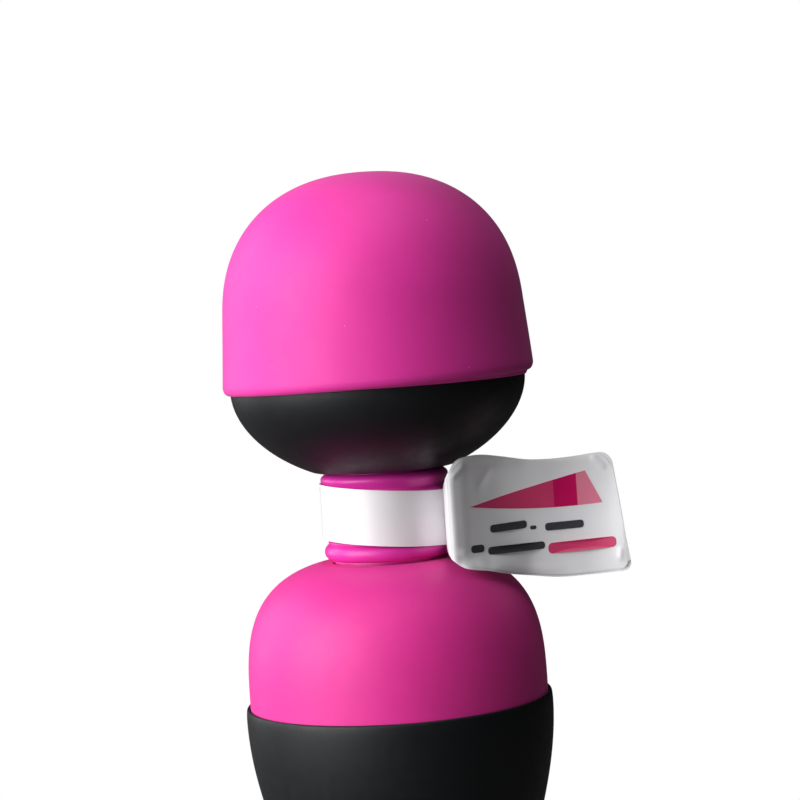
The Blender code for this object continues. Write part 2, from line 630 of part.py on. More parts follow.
def make_electronics():
    top = BATTERY_BOTTOM_Z + BATTERY_LENGTH
    outline = [(0.0, BATTERY_BOTTOM_Z), (BATTERY_RADIUS - 0.5, BATTERY_BOTTOM_Z),
               (BATTERY_RADIUS, BATTERY_BOTTOM_Z + 0.5), (BATTERY_RADIUS, top - 0.5),
               (BATTERY_RADIUS - 0.5, top), (0.0, top)]
    turned("battery_cell", outline, ((0.05, 0.25, 0.5), 0.3), MEDIUM, (0.0, BATTERY_Y))
    nickel = ((0.6, 0.58, 0.52), 0.3, 1.0)
    block("battery_tab_top", (-3.0, -9.0, top + 0.1), (3.0, 3.5, top + 0.4), nickel)
    block("battery_tab_bottom", (-3.0, -9.0, BATTERY_BOTTOM_Z - 0.4), (3.0, 3.5, BATTERY_BOTTOM_Z - 0.1), nickel)
    back = BOARD_FACE_Y - BOARD_THICKNESS
    block("main_board", (-8.0, back, 34.0), (8.0, BOARD_FACE_Y, 76.0), ((0.02, 0.16, 0.06), 0.4))
    for name, height in (("plus_switch", PLUS_Z), ("minus_switch", MINUS_Z)):
        front = BOARD_FACE_Y + 0.2
        switch = block(name, (-3.0, front, height - 3.0), (3.0, front + 1.7, height + 3.0), (STEEL, 0.4, 0.8))
        knob = [(0.0, front + 1.0), (1.6, front + 1.0), (1.6, front + 2.2), (0.0, front + 2.2)]
        join(switch, lying_rod(f"{name}_knob", knob, (0.0, height), None, TINY))
    block("status_led", (-1.0, BOARD_FACE_Y + 0.2, LENS_Z - 0.6), (1.0, BOARD_FACE_Y + 1.1, LENS_Z + 0.6),
          ((0.8, 0.8, 0.75), 0.3))
    face = handle_radius(LENS_Z) + 0.1
    lens = [(0.0, 10.2), (1.9, 10.2), (1.9, 11.0), (1.2, 11.0), (1.2, face - 0.2), (0.9, face), (0.0, face)]
    lying_rod("indicator_lens", lens, (0.0, LENS_Z), ((0.8, 0.8, 0.8), 0.15), TINY)
    gasket = block("button_gasket", (-5.7, 12.9, 37.5), (5.7, 13.3, 63.5), (RUBBER, 0.7))
    for name, height in (("plus", PLUS_Z), ("minus", MINUS_Z)):
        ring = [(0.0, 12.0), (BUTTON_RADIUS + 0.2, 12.0), (BUTTON_RADIUS + 0.2, 14.0), (0.0, 14.0)]
        cut(gasket, lying_rod(f"gasket_{name}", ring, (0.0, height)))
    block("charge_board", (-7.2, 9.8, 14.6), (7.2, 16.2, 15.6), ((0.02, 0.16, 0.06), 0.4))
    low = SOCKET_Z - 1.65
    high = SOCKET_Z + 1.65
    socket = block("charge_socket", (-4.45, 10.4, low), (4.45, 17.4, high), (STEEL, 0.3, 1.0))
    cut(socket, block("socket_room", (-4.1, 11.4, low + 0.35), (4.1, 20.0, high - 0.35)))
    join(socket, block("socket_tongue", (-3.3, 11.0, SOCKET_Z - 0.35), (3.3, 16.8, SOCKET_Z + 0.35)))


def make_chassis():
    look = (NYLON, 0.55)
    chassis = block("chassis", (-7.0, SPINE_Y, 13.0), (7.0, SPINE_Y + 1.5, 110.5), look)
    join(chassis, disc("chassis_foot", 14.1, 12.6, 13.9, None, MEDIUM))
    join(chassis, disc("chassis_wall", 12.8, 80.4, 81.8, None, MEDIUM))
    join(chassis, disc("chassis_flange", 19.4, 85.6, 87.0, None, MEDIUM))
    join(chassis, disc("chassis_top", 12.5, 109.7, 111.2, None, MEDIUM))
    for index, (x, y) in enumerate(BASE_SCREWS):
        join(chassis, disc(f"chassis_post_{index}", 2.6, 4.9, 13.4, None, TINY, (x, y)))
    for index, (x, y) in enumerate(BASE_SCREWS):
        cut(chassis, disc(f"post_hole_{index}", 1.3, 3.0, 12.4, None, TINY, (x, y)))
    for side in (-1, 1):
        cut(chassis, disc(f"flange_hole_{side + 1}", 1.3, 84.0, 89.0, None, TINY, (CHASSIS_SCREW_X * side, 0.0)))
    cut(chassis, block("lead_way_low", (-4.0, 6.35, 76.0), (4.0, 9.0, 90.0)))
    cut(chassis, block("lead_way", (-4.0, 0.0, 82.2), (4.0, 8.0, 113.0)))
    for side in (-1, 1):
        outline = [(0.0, 93.5), (0.8, 93.0), (0.95, 92.0), (0.95, 85.3), (1.9, 85.3), (1.9, 84.6), (0.0, 84.0)]
        turned(f"chassis_screw_{1 if side < 0 else 2}", outline, (STEEL, 0.35, 1.0), TINY, (CHASSIS_SCREW_X * side, 0.0))


# Base

def make_base():
    outer = [(handle_radius(height), height) for height in spread(0.6, SHELL_BOTTOM_Z - GAP, 5)]
    outline = [
        (0.0, 2.0), (13.8, 2.0), (13.8, 0.6), *outer, (SHELL_MOUTH - 0.3, SHELL_BOTTOM_Z - GAP),
        (SHELL_MOUTH - 0.3, 10.0), (SHELL_MOUTH - 1.1, 10.0), (SHELL_MOUTH - 1.1, 11.4),
        (SHELL_MOUTH - 0.3, 11.4), (SHELL_MOUTH - 0.3, 13.0), (15.8, 13.0), (15.8, 4.4), (0.0, 4.4),
    ]
    cap = turned("base_cap", outline, (CHARCOAL, 0.5))
    join(cap, block("board_shelf", (-5.4, 14.5, 9.0), (5.4, 16.2, 14.3)))
    for index, (x, y) in enumerate(BASE_SCREWS):
        well = [(0.0, 1.0), (2.3, 1.0), (2.3, 3.2), (1.4, 3.2), (1.4, 6.0), (0.0, 6.0)]
        cut(cap, turned(f"screw_well_{index}", well, None, TINY, (x, y)))
        screw = [(0.0, 2.2), (2.0, 2.2), (2.0, 3.1), (1.1, 3.1), (1.1, 11.4), (0.0, 12.1)]
        turned(f"base_screw_{index + 1}", screw, (STEEL, 0.35, 1.0), TINY, (x, y))
    disc("base_seal", SHELL_MOUTH - 0.1, 10.2, 11.2, (RUBBER, 0.6), BIG, bore=SHELL_MOUTH - 0.95)
    foot = [(0.0, 0.0), (13.0, 0.0), (13.5, 0.4), (13.5, 1.8), (0.0, 1.8)]
    turned("foot_pad", foot, (RUBBER, 0.75), MEDIUM)


def main():
    clear_scene()
    make_massage_cap()
    make_head_dome()
    make_head_screws()
    make_head_bowl()
    make_head_seal()
    make_motor()
    make_rotor()
    make_motor_mounting()
    make_neck()
    make_neck_tag()
    make_motor_leads()
    make_shoulder_cover()
    make_shoulder_seal()
    make_handle_shell()
    make_port_flap()
    make_buttons()
    make_electronics()
    make_chassis()
    make_base()


main()
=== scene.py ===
"""Looks of the handheld wand massager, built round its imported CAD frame.

Shapes are worked out in millimetres and every mesh is written in metres, in the frame's own
coordinates: the foot stands at height 0, Z is the wand's axis, the camera looks along +Y, the
label's flag points along +X, and the buttons and the charge socket are at the back, on +Y.
"""

import json
import math

import bmesh
import bpy
from mathutils import Matrix, Vector


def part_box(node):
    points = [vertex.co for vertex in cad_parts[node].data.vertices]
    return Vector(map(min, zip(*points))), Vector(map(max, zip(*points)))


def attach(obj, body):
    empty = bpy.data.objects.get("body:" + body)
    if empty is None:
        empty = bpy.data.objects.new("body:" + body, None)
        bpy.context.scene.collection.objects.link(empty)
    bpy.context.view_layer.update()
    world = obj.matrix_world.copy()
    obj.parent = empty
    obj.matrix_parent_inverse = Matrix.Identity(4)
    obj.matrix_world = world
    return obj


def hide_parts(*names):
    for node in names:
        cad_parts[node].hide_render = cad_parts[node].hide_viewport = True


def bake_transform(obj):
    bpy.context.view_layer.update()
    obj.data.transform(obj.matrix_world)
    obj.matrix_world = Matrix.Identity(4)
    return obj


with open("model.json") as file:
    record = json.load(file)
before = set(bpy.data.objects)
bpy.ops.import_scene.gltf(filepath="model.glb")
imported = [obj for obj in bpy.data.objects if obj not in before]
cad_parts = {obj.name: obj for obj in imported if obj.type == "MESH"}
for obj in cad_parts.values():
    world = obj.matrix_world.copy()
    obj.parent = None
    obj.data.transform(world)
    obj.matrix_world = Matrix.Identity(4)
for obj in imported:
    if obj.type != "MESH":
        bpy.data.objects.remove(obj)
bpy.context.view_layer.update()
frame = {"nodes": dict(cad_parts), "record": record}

MM = 0.001
FINE = 192
ROUND = 96

# Head
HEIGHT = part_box("massage_cap")[1].z / MM
CAP_RIM_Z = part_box("massage_cap")[0].z / MM
CAP_HALF_WIDTH = 22.45
CAP_RISE = 21.12
CAP_POWER = 2.31
CAP_TAPER = 0.0775
CAP_WALL = 3.0
RIM_BORE = 23.9
CAP_LEVEL_Z = 165.0
CAP_TILT = 0.021
CAP_LIFT = 0.3
CAP_SHIFT = 0.15
RIM_ROUND = 1.35
BOWL_RADIUS = 23.68
BOWL_DEPTH = 15.85
BOWL_CENTRE = 146.1
BOWL_POWER = 1.875
BOWL_TOP_Z = 147.2
BOWL_SEAT_RADIUS = 11.2
DOME_BASE_Z = 147.5
DOME_FLANGE_TOP_Z = 149.0
DOME_FLANGE_RADIUS = 23.6
SCREW_CIRCLE = 17.6
SCREW_ANGLES = (90.0, 210.0, 330.0)
POCKET_FLOOR_Z = 152.5

# Neck and label
NECK_BORE = 7.3
NECK_STEM = 8.8
SLEEVE_RADIUS = 10.28
NECK_MEET_Z = 125.5
# Heights between which each half of the sleeve bends
LOWER_BEND = (118.2, 125.0)
UPPER_BEND = (126.5, 131.6)
SPRING_RADIUS = 6.1
SPRING_TURNS = 6
SPRING_LOW_Z = 112.2
SPRING_HIGH_Z = 137.6
LEAD_START_Y = 7.7
LEAD_LOW_Z = 76.6
LEAD_HIGH_Z = 140.0
BAND_RADIUS = 10.42
BAND_CENTRE_Z = 125.25
BAND_HALF_HEIGHT = 4.4
BAND_SKEW = 0.095
FILM_THICKNESS = 0.15
FILM_GAP = 0.02

# Shoulder and handle
SHOULDER_RADIUS = 24.05
SHOULDER_RISE = 22.45
SHOULDER_CENTRE = 96.0
SHOULDER_POWER = 3.09
SHOULDER_SEAT_RADIUS = 10.6
SKIRT_RADIUS = 22.3
LIP_Z = 95.3
HANDLE_WIDE_Z = 93.6
HANDLE_WIDE_RADIUS = 24.76
WAIST_Z = 50.5
WAIST_RADIUS = 16.8
BASE_WIDE_Z = 12.0
BASE_WIDE_RADIUS = 20.6
BASE_ROUND = 13.5
BASE_POWER = 3.0
SHELL_BOTTOM_Z = 8.0
SHELL_MOUTH = 18.3
WALL = 2.0

# Back of the handle
PLUS_Z = 57.0
MINUS_Z = 44.0
BUTTON_RADIUS = 4.8
BUTTON_PROUD = 0.7
BUTTON_BACK_Y = 11.9
LENS_Z = 66.5
FLAP_LOW_Z = 13.5
FLAP_HIGH_Z = 22.0
FLAP_HALF_WIDTH = 7.2
SOCKET_Z = 17.6


# Mesh helpers

def mesh_object(name, points, faces, sharp=35.0):
    """One object from points in millimetres, faced outward, smooth but for its sharp edges."""
    mesh = bpy.data.meshes.new(name)
    mesh.from_pydata([Vector(point) * MM for point in points], [], faces)
    work = bmesh.new()
    work.from_mesh(mesh)
    bmesh.ops.recalc_face_normals(work, faces=work.faces)
    work.to_mesh(mesh)
    work.free()
    mesh.shade_smooth()
    mesh.set_sharp_from_angle(angle=math.radians(sharp))
    item = bpy.data.objects.new(name, mesh)
    bpy.context.scene.collection.objects.link(item)
    return item


def loft(name, rings, closed=False, sharp=35.0):
    """Skin through rings of equal length. A ring of one point ends the skin in a tip."""
    points = []
    numbers = []
    longest = max(len(ring) for ring in rings)
    for ring in rings:
        if len(ring) == 1:
            numbers.append([len(points)] * longest)
        else:
            numbers.append(list(range(len(points), len(points) + longest)))
        points.extend(ring)
    faces = []
    pairs = list(zip(numbers, numbers[1:]))
    if closed:
        pairs.append((numbers[-1], numbers[0]))
    for here, after in pairs:
        for step in range(longest):
            follow = (step + 1) % longest
            corners = [here[step], here[follow], after[follow], after[step]]
            corners = list(dict.fromkeys(corners))
            if len(corners) > 2:
                faces.append(corners)
    return mesh_object(name, points, faces, sharp)


def turned(name, outline, segments=FINE, centre=(0.0, 0.0), sharp=35.0):
    """Turn a closed outline of (radius, height) points about an upright axis."""
    rings = []
    for radius, height in outline:
        if radius < 1e-6:
            rings.append([(centre[0], centre[1], height)])
            continue
        ring = []
        for step in range(segments):
            turn = 2.0 * math.pi * step / segments
            ring.append((centre[0] + radius * math.cos(turn), centre[1] + radius * math.sin(turn), height))
        rings.append(ring)
    return loft(name, rings, True, sharp)


def patch(name, outline, layers, fill=6, sharp=35.0):
    """Solid through layers of (growth, depth), whose ends are filled towards their middle.

    outline(growth) gives the rim's (x, z) points, and depth(x, z) gives a layer's y.
    """
    rings = []
    for share in range(fill):
        rings.append(layer_ring(outline, layers[0], share / fill))
    for layer in layers:
        rings.append(layer_ring(outline, layer, 1.0))
    for share in range(fill - 1, -1, -1):
        rings.append(layer_ring(outline, layers[-1], share / fill))
    return loft(name, rings, False, sharp)


def layer_ring(outline, layer, share):
    growth, depth = layer
    rim = outline(growth)
    middle_x = sum(x for x, z in rim) / len(rim)
    middle_z = sum(z for x, z in rim) / len(rim)
    if share == 0.0:
        return [(middle_x, depth(middle_x, middle_z), middle_z)]
    ring = []
    for x, z in rim:
        x = middle_x + (x - middle_x) * share
        z = middle_z + (z - middle_z) * share
        ring.append((x, depth(x, z), z))
    return ring


def round_outline(centre_x, centre_z, radius, steps=64):
    def rim(growth):
        return [(centre_x + (radius + growth) * math.cos(2.0 * math.pi * step / steps),
                 centre_z + (radius + growth) * math.sin(2.0 * math.pi * step / steps))
                for step in range(steps)]
    return rim


def slab_outline(centre_x, centre_z, half_width, half_height, corner, steps=8, slope=0.0):
    """Rectangle with round corners. slope lifts it along +X."""
    def rim(growth):
        points = []
        bend = max(corner + growth, 0.01)
        for quarter, (sign_x, sign_z) in enumerate(((1, 1), (-1, 1), (-1, -1), (1, -1))):
            for step in range(steps + 1):
                turn = math.pi / 2.0 * (quarter + step / steps)
                x = sign_x * (half_width + growth - bend) + bend * math.cos(turn)
                z = sign_z * (half_height + growth - bend) + bend * math.sin(turn)
                points.append((centre_x + x, centre_z + z + slope * x))
        return points
    return rim


def flat(depth):
    return lambda x, z: depth


def sunk(surface, drop):
    return lambda x, z: surface(x, z) - drop


def soft_edge(surface, radius, facing=1.0, steps=4):
    """Layers that round the front edge of a patch, the last of them on the surface."""
    layers = []
    for step in range(steps + 1):
        turn = math.pi / 2.0 * step / steps
        shrink = radius * (1.0 - math.cos(turn))
        drop = facing * radius * (1.0 - math.sin(turn))
        layers.append((-shrink, sunk(surface, drop)))
    return layers


def combine(target, operation, tool, sharp=35.0):
    """Join, cut or intersect with a tool, keep the result as the mesh and remove the tool."""
    modifier = target.modifiers.new(tool.name, "BOOLEAN")
    modifier.operation = operation
    modifier.object = tool
    modifier.solver = "EXACT"
    view_layer = bpy.context.view_layer
    view_layer.update()
    result = target.evaluated_get(bpy.context.evaluated_depsgraph_get())
    mesh = bpy.data.meshes.new_from_object(result)
    target.modifiers.clear()
    target.data = mesh
    mesh.shade_smooth()
    mesh.set_sharp_from_angle(angle=math.radians(sharp))
    bpy.data.objects.remove(tool, do_unlink=True)
    return target


def along_z(item, centre, height):
    """Turn a patch made along +Y so that it points up at a place."""
    move = Matrix.Translation(Vector((centre[0], centre[1], height)) * MM)
    item.data.transform(move @ Matrix.Rotation(math.pi / 2.0, 4, "X"))
    return item


def on_circle(radius, angle):
    turn = math.radians(angle)
    return (radius * math.cos(turn), radius * math.sin(turn))


def spread(low, high, steps):
    return [low + (high - low) * step / steps for step in range(steps + 1)]


def smooth(share):
    share = min(max(share, 0.0), 1.0)
    return share * share * (3.0 - 2.0 * share)


def corner(centre, radius, first, last, steps=6):
    """Arc of (radius, height) points about a centre, between two angles in degrees."""
    points = []
    for angle in spread(first, last, steps):
        turn = math.radians(angle)
        points.append((centre[0] + radius * math.cos(turn), centre[1] + radius * math.sin(turn)))
    return points


# Outlines

def arc_points(radius, rise, power, centre, first, last, steps):
    """Superellipse points (radius, height) between two angles, in degrees above its widest."""
    points = []
    for angle in spread(first, last, steps):
        turn = math.radians(angle)
        across = max(math.cos(turn), 0.0) ** (2.0 / power)
        upward = math.sin(turn) ** (2.0 / power)
        points.append((radius * across, centre + rise * upward))
    return points


def seat_angle(radius, seat, power):
    return math.degrees(math.acos((seat / radius) ** (power / 2.0)))


def head_curve(inset, bottom, steps):
    """The head's form moved inward, from its lower edge up to the tip."""
    tip = HEIGHT - inset
    centre = HEIGHT - CAP_RISE
    upper = arc_points(CAP_HALF_WIDTH - inset, CAP_RISE - inset, CAP_POWER, centre, 0.0, 90.0, steps)
    lower = [(CAP_HALF_WIDTH - inset, height) for height in spread(bottom, centre, steps // 4)[:-1]]
    curve = [(radius + CAP_TAPER * (tip - height), height) for radius, height in lower + upper]
    curve[-1] = (0.0, tip)
    return curve


def bowl_curve(inset, seat, steps):
    radius = BOWL_RADIUS - inset
    last = seat_angle(radius, seat, BOWL_POWER)
    return arc_points(radius, inset - BOWL_DEPTH, BOWL_POWER, BOWL_CENTRE, 0.0, last, steps)


def shoulder_curve(inset, seat, steps):
    radius = SHOULDER_RADIUS - inset
    last = seat_angle(radius, seat, SHOULDER_POWER)
    return arc_points(radius, SHOULDER_RISE - inset, SHOULDER_POWER, SHOULDER_CENTRE, 0.0, last, steps)


def handle_radius(height):
    """Outer radius of the handle: full at the lip, narrow at the waist, full at the base."""
    if height >= WAIST_Z:
        reach = (HANDLE_WIDE_RADIUS - WAIST_RADIUS) / 2.0
        turn = (height - WAIST_Z) / (HANDLE_WIDE_Z - WAIST_Z)
        return WAIST_RADIUS + reach * (1.0 - math.cos(math.pi * turn))
    if height >= BASE_WIDE_Z:
        reach = (BASE_WIDE_RADIUS - WAIST_RADIUS) / 2.0
        turn = (WAIST_Z - height) / (WAIST_Z - BASE_WIDE_Z)
        return WAIST_RADIUS + reach * (1.0 - math.cos(math.pi * turn))
    drop = (BASE_WIDE_Z - height) / BASE_ROUND
    return BASE_WIDE_RADIUS * (1.0 - drop ** BASE_POWER) ** (1.0 / BASE_POWER)


def handle_face(proud):
    """Depth of the handle's back face, moved outward by proud, at any (x, z)."""
    def depth(x, z):
        radius = handle_radius(z) + proud
        return math.sqrt(max(radius * radius - x * x, 0.0))
    return depth


# Material helpers

def feed(tree, socket, value):
    """Link another socket in, or set a constant."""
    if isinstance(value, bpy.types.NodeSocket):
        tree.links.new(value, socket)
    else:
        socket.default_value = value


def add_node(tree, kind, settings=(), **inputs):
    """New shader node. Its inputs are given by name, with underscores for spaces."""
    made = tree.nodes.new("ShaderNode" + kind)
    for name, value in dict(settings).items():
        setattr(made, name, value)
    for name, value in inputs.items():
        feed(tree, made.inputs[name.replace("_", " ")], value)
    return made


def mix_shaders(tree, share, first, second):
    mix = add_node(tree, "MixShader", Fac=share)
    tree.links.new(first.outputs[0], mix.inputs[1])
    tree.links.new(second.outputs[0], mix.inputs[2])
    return mix.outputs["Shader"]


class Graph:
    """Short names for making a material's nodes and links."""

    def __init__(self, name):
        self.material = bpy.data.materials.new(name)
        self.material.use_nodes = True
        self.tree = self.material.node_tree
        self.shader = self.tree.nodes["Principled BSDF"]
        self.place = self.tree.nodes.new("ShaderNodeTexCoord").outputs["Object"]

    def node(self, kind, settings=(), **inputs):
        return add_node(self.tree, kind, settings, **inputs)

    def link(self, source, name):
        self.tree.links.new(source, self.shader.inputs[name])

    def noise(self, size, detail=2.0):
        """Noise whose features are about size millimetres."""
        return self.node("TexNoise", Vector=self.place, Scale=1.0 / (size * MM), Detail=detail).outputs["Fac"]

    def spots(self, spacing, reach, share):
        """1 in round spots of a reach, on a share of the cells of a given spacing, both in millimetres."""
        cells = self.node("TexVoronoi", Vector=self.place, Scale=1.0 / (spacing * MM))
        inside = self.node("MapRange", Value=cells.outputs["Distance"], From_Min=0.6 * reach / spacing,
                           From_Max=reach / spacing, To_Min=1.0, To_Max=0.0).outputs["Result"]
        pick = self.node("SeparateColor", Color=cells.outputs["Color"]).outputs["Red"]
        chosen = self.maths("LESS_THAN", pick, share)
        return self.maths("MULTIPLY", inside, chosen)

    def maths(self, operation, first, second):
        made = self.node("Math", {"operation": operation})
        for socket, value in zip(made.inputs, (first, second)):
            feed(self.tree, socket, value)
        return made.outputs["Value"]

    def ramp(self, value, low, high):
        """Map 0.3 to 0.7 of a noise onto a range of values."""
        return self.node("MapRange", Value=value, From_Min=0.3, From_Max=0.7, To_Min=low,
                         To_Max=high).outputs["Result"]

    def blend(self, share, first, second):
        """Mix two colours, each a colour or a colour socket."""
        made = self.node("Mix", {"data_type": "RGBA"}, Factor=share)
        sockets = [socket for socket in made.inputs if socket.type == "RGBA"]
        for socket, value in zip(sockets, (first, second)):
            feed(self.tree, socket, (*value, 1.0) if isinstance(value, tuple) else value)
        return next(socket for socket in made.outputs if socket.type == "RGBA")

    def bump(self, height, depth, strength=1.0, normal=None):
        """Bump of a depth in millimetres, over an earlier one where there is one."""
        made = self.node("Bump", Height=height, Distance=depth * MM, Strength=strength)
        if normal is not None:
            self.tree.links.new(normal, made.inputs["Normal"])
        return made.outputs["Normal"]

    def fix(self, **values):
        """Set constants on the shader's own sockets."""
        for name, value in values.items():
            self.shader.inputs[name.replace("_", " ")].default_value = value


def shade(colour, factor):
    return tuple(min(channel * factor, 1.0) for channel in colour)


def silicone(name, colour, roughness, dust, sheen=0.0):
    """Soft-touch silicone: faint mottling, skin-fine grain and a few specks of dust and pits."""
    graph = Graph(name)
    tone = graph.ramp(graph.noise(9.0, 3.0), 0.0, 1.0)
    base = graph.blend(tone, shade(colour, 0.955), shade(colour, 1.03))
    specks = graph.spots(4.6, 0.13, 0.22)
    faint = graph.maths("MULTIPLY", specks, dust)
    base = graph.blend(faint, base, (0.95, 0.62, 0.80))
    graph.link(base, "Base Color")
    graph.link(graph.ramp(graph.noise(2.2), roughness - 0.035, roughness + 0.035), "Roughness")
    grain = graph.bump(graph.noise(0.11, 3.0), 0.006, 0.55)
    pits = graph.spots(7.5, 0.2, 0.16)
    graph.link(graph.bump(graph.maths("MULTIPLY", pits, -1.0), 0.05, 0.5, grain), "Normal")
    graph.fix(Specular_IOR_Level=0.42, Sheen_Weight=sheen, Sheen_Roughness=0.5)
    return graph.material


def moulded(name, colour, roughness, grain_size, grain_depth, specular=0.5, mottle=0.06):
    """Moulded plastic or rubber with a spark-eroded grain and slightly uneven gloss."""
    graph = Graph(name)
    tone = graph.ramp(graph.noise(6.0, 3.0), 0.0, 1.0)
    base = graph.blend(tone, shade(colour, 1.0 - mottle), shade(colour, 1.0 + mottle))
    dust = graph.maths("MULTIPLY", graph.spots(5.2, 0.11, 0.14), 0.16)
    graph.link(graph.blend(dust, base, (0.35, 0.34, 0.34)), "Base Color")
    graph.link(graph.ramp(graph.noise(1.6), roughness - 0.04, roughness + 0.04), "Roughness")
    graph.link(graph.bump(graph.noise(grain_size, 3.0), grain_depth, 0.6), "Normal")
    graph.fix(Specular_IOR_Level=specular)
    return graph.material


def metal(name, colour, roughness, stretch=(1.0, 1.0, 1.0), streak=0.25):
    """Bare metal with fine tool marks, stretched along one or two axes, and slight staining."""
    graph = Graph(name)
    warped = graph.node("Mapping", Vector=graph.place, Scale=stretch).outputs["Vector"]
    marks = graph.node("TexNoise", Vector=warped, Scale=1.0 / (streak * MM), Detail=3.0).outputs["Fac"]
    stain = graph.ramp(graph.noise(3.5, 3.0), 0.0, 1.0)
    graph.link(graph.blend(stain, shade(colour, 0.82), colour), "Base Color")
    graph.link(graph.ramp(marks, roughness - 0.09, roughness + 0.09), "Roughness")
    graph.link(graph.bump(marks, 0.008, 0.6), "Normal")
    graph.fix(Metallic=1.0)
    return graph.material


def winding(name):
    """Enamelled copper wire, wound round the axis."""
    graph = Graph(name)
    wires = graph.node("TexWave", {"bands_direction": "Z", "wave_profile": "SIN"}, Vector=graph.place,
                       Scale=1.0 / (0.35 * MM) / 20.0, Distortion=0.4).outputs["Fac"]
    graph.link(graph.blend(wires, (0.16, 0.05, 0.015), (0.62, 0.23, 0.07)), "Base Color")
    graph.link(graph.ramp(graph.noise(1.2), 0.24, 0.38), "Roughness")
    graph.link(graph.bump(wires, 0.12, 0.8), "Normal")
    graph.fix(Metallic=0.9, Coat_Weight=0.4)
    return graph.material


def circuit(name):
    """Solder-resist green with paler tracks and bare pads."""
    graph = Graph(name)
    tracks = graph.node("TexBrick", {"offset": 0.5}, Vector=graph.place, Scale=1.0 / (2.4 * MM) / 4.0,
                        Mortar_Size=0.03, Color1=(0.010, 0.095, 0.035, 1.0), Color2=(0.014, 0.12, 0.045, 1.0),
                        Mortar=(0.035, 0.24, 0.085, 1.0))
    pads = graph.spots(1.9, 0.34, 0.3)
    graph.link(graph.blend(pads, tracks.outputs["Color"], (0.62, 0.57, 0.42)), "Base Color")
    graph.link(graph.ramp(graph.noise(1.3), 0.26, 0.4), "Roughness")
    graph.link(graph.bump(tracks.outputs["Fac"], 0.03, 0.6), "Normal")
    return graph.material


def film(name, colour, roughness, coat):
    """Glossy laminated label film with slight ripples and hazy streaks."""
    graph = Graph(name)
    haze = graph.ramp(graph.noise(5.0, 4.0), 0.0, 1.0)
    graph.link(graph.blend(haze, shade(colour, 0.965), colour), "Base Color")
    graph.link(graph.ramp(graph.noise(1.8), roughness - 0.05, roughness + 0.05), "Roughness")
    ripples = graph.bump(graph.noise(4.5, 2.0), 0.10, 0.35)
    graph.link(graph.bump(graph.noise(0.3, 2.0), 0.006, 0.4, ripples), "Normal")
    graph.fix(Coat_Weight=coat, Coat_Roughness=0.16, Specular_IOR_Level=0.5)
    return graph.material


def clear_plastic(name):
    graph = Graph(name)
    graph.link(graph.ramp(graph.noise(1.5), 0.06, 0.14), "Roughness")
    graph.link(graph.blend(graph.noise(2.0), (0.80, 0.82, 0.84), (0.93, 0.94, 0.95)), "Base Color")
    graph.link(graph.bump(graph.noise(0.6), 0.01, 0.3), "Normal")
    graph.fix(Transmission_Weight=0.85, IOR=1.49)
    return graph.material


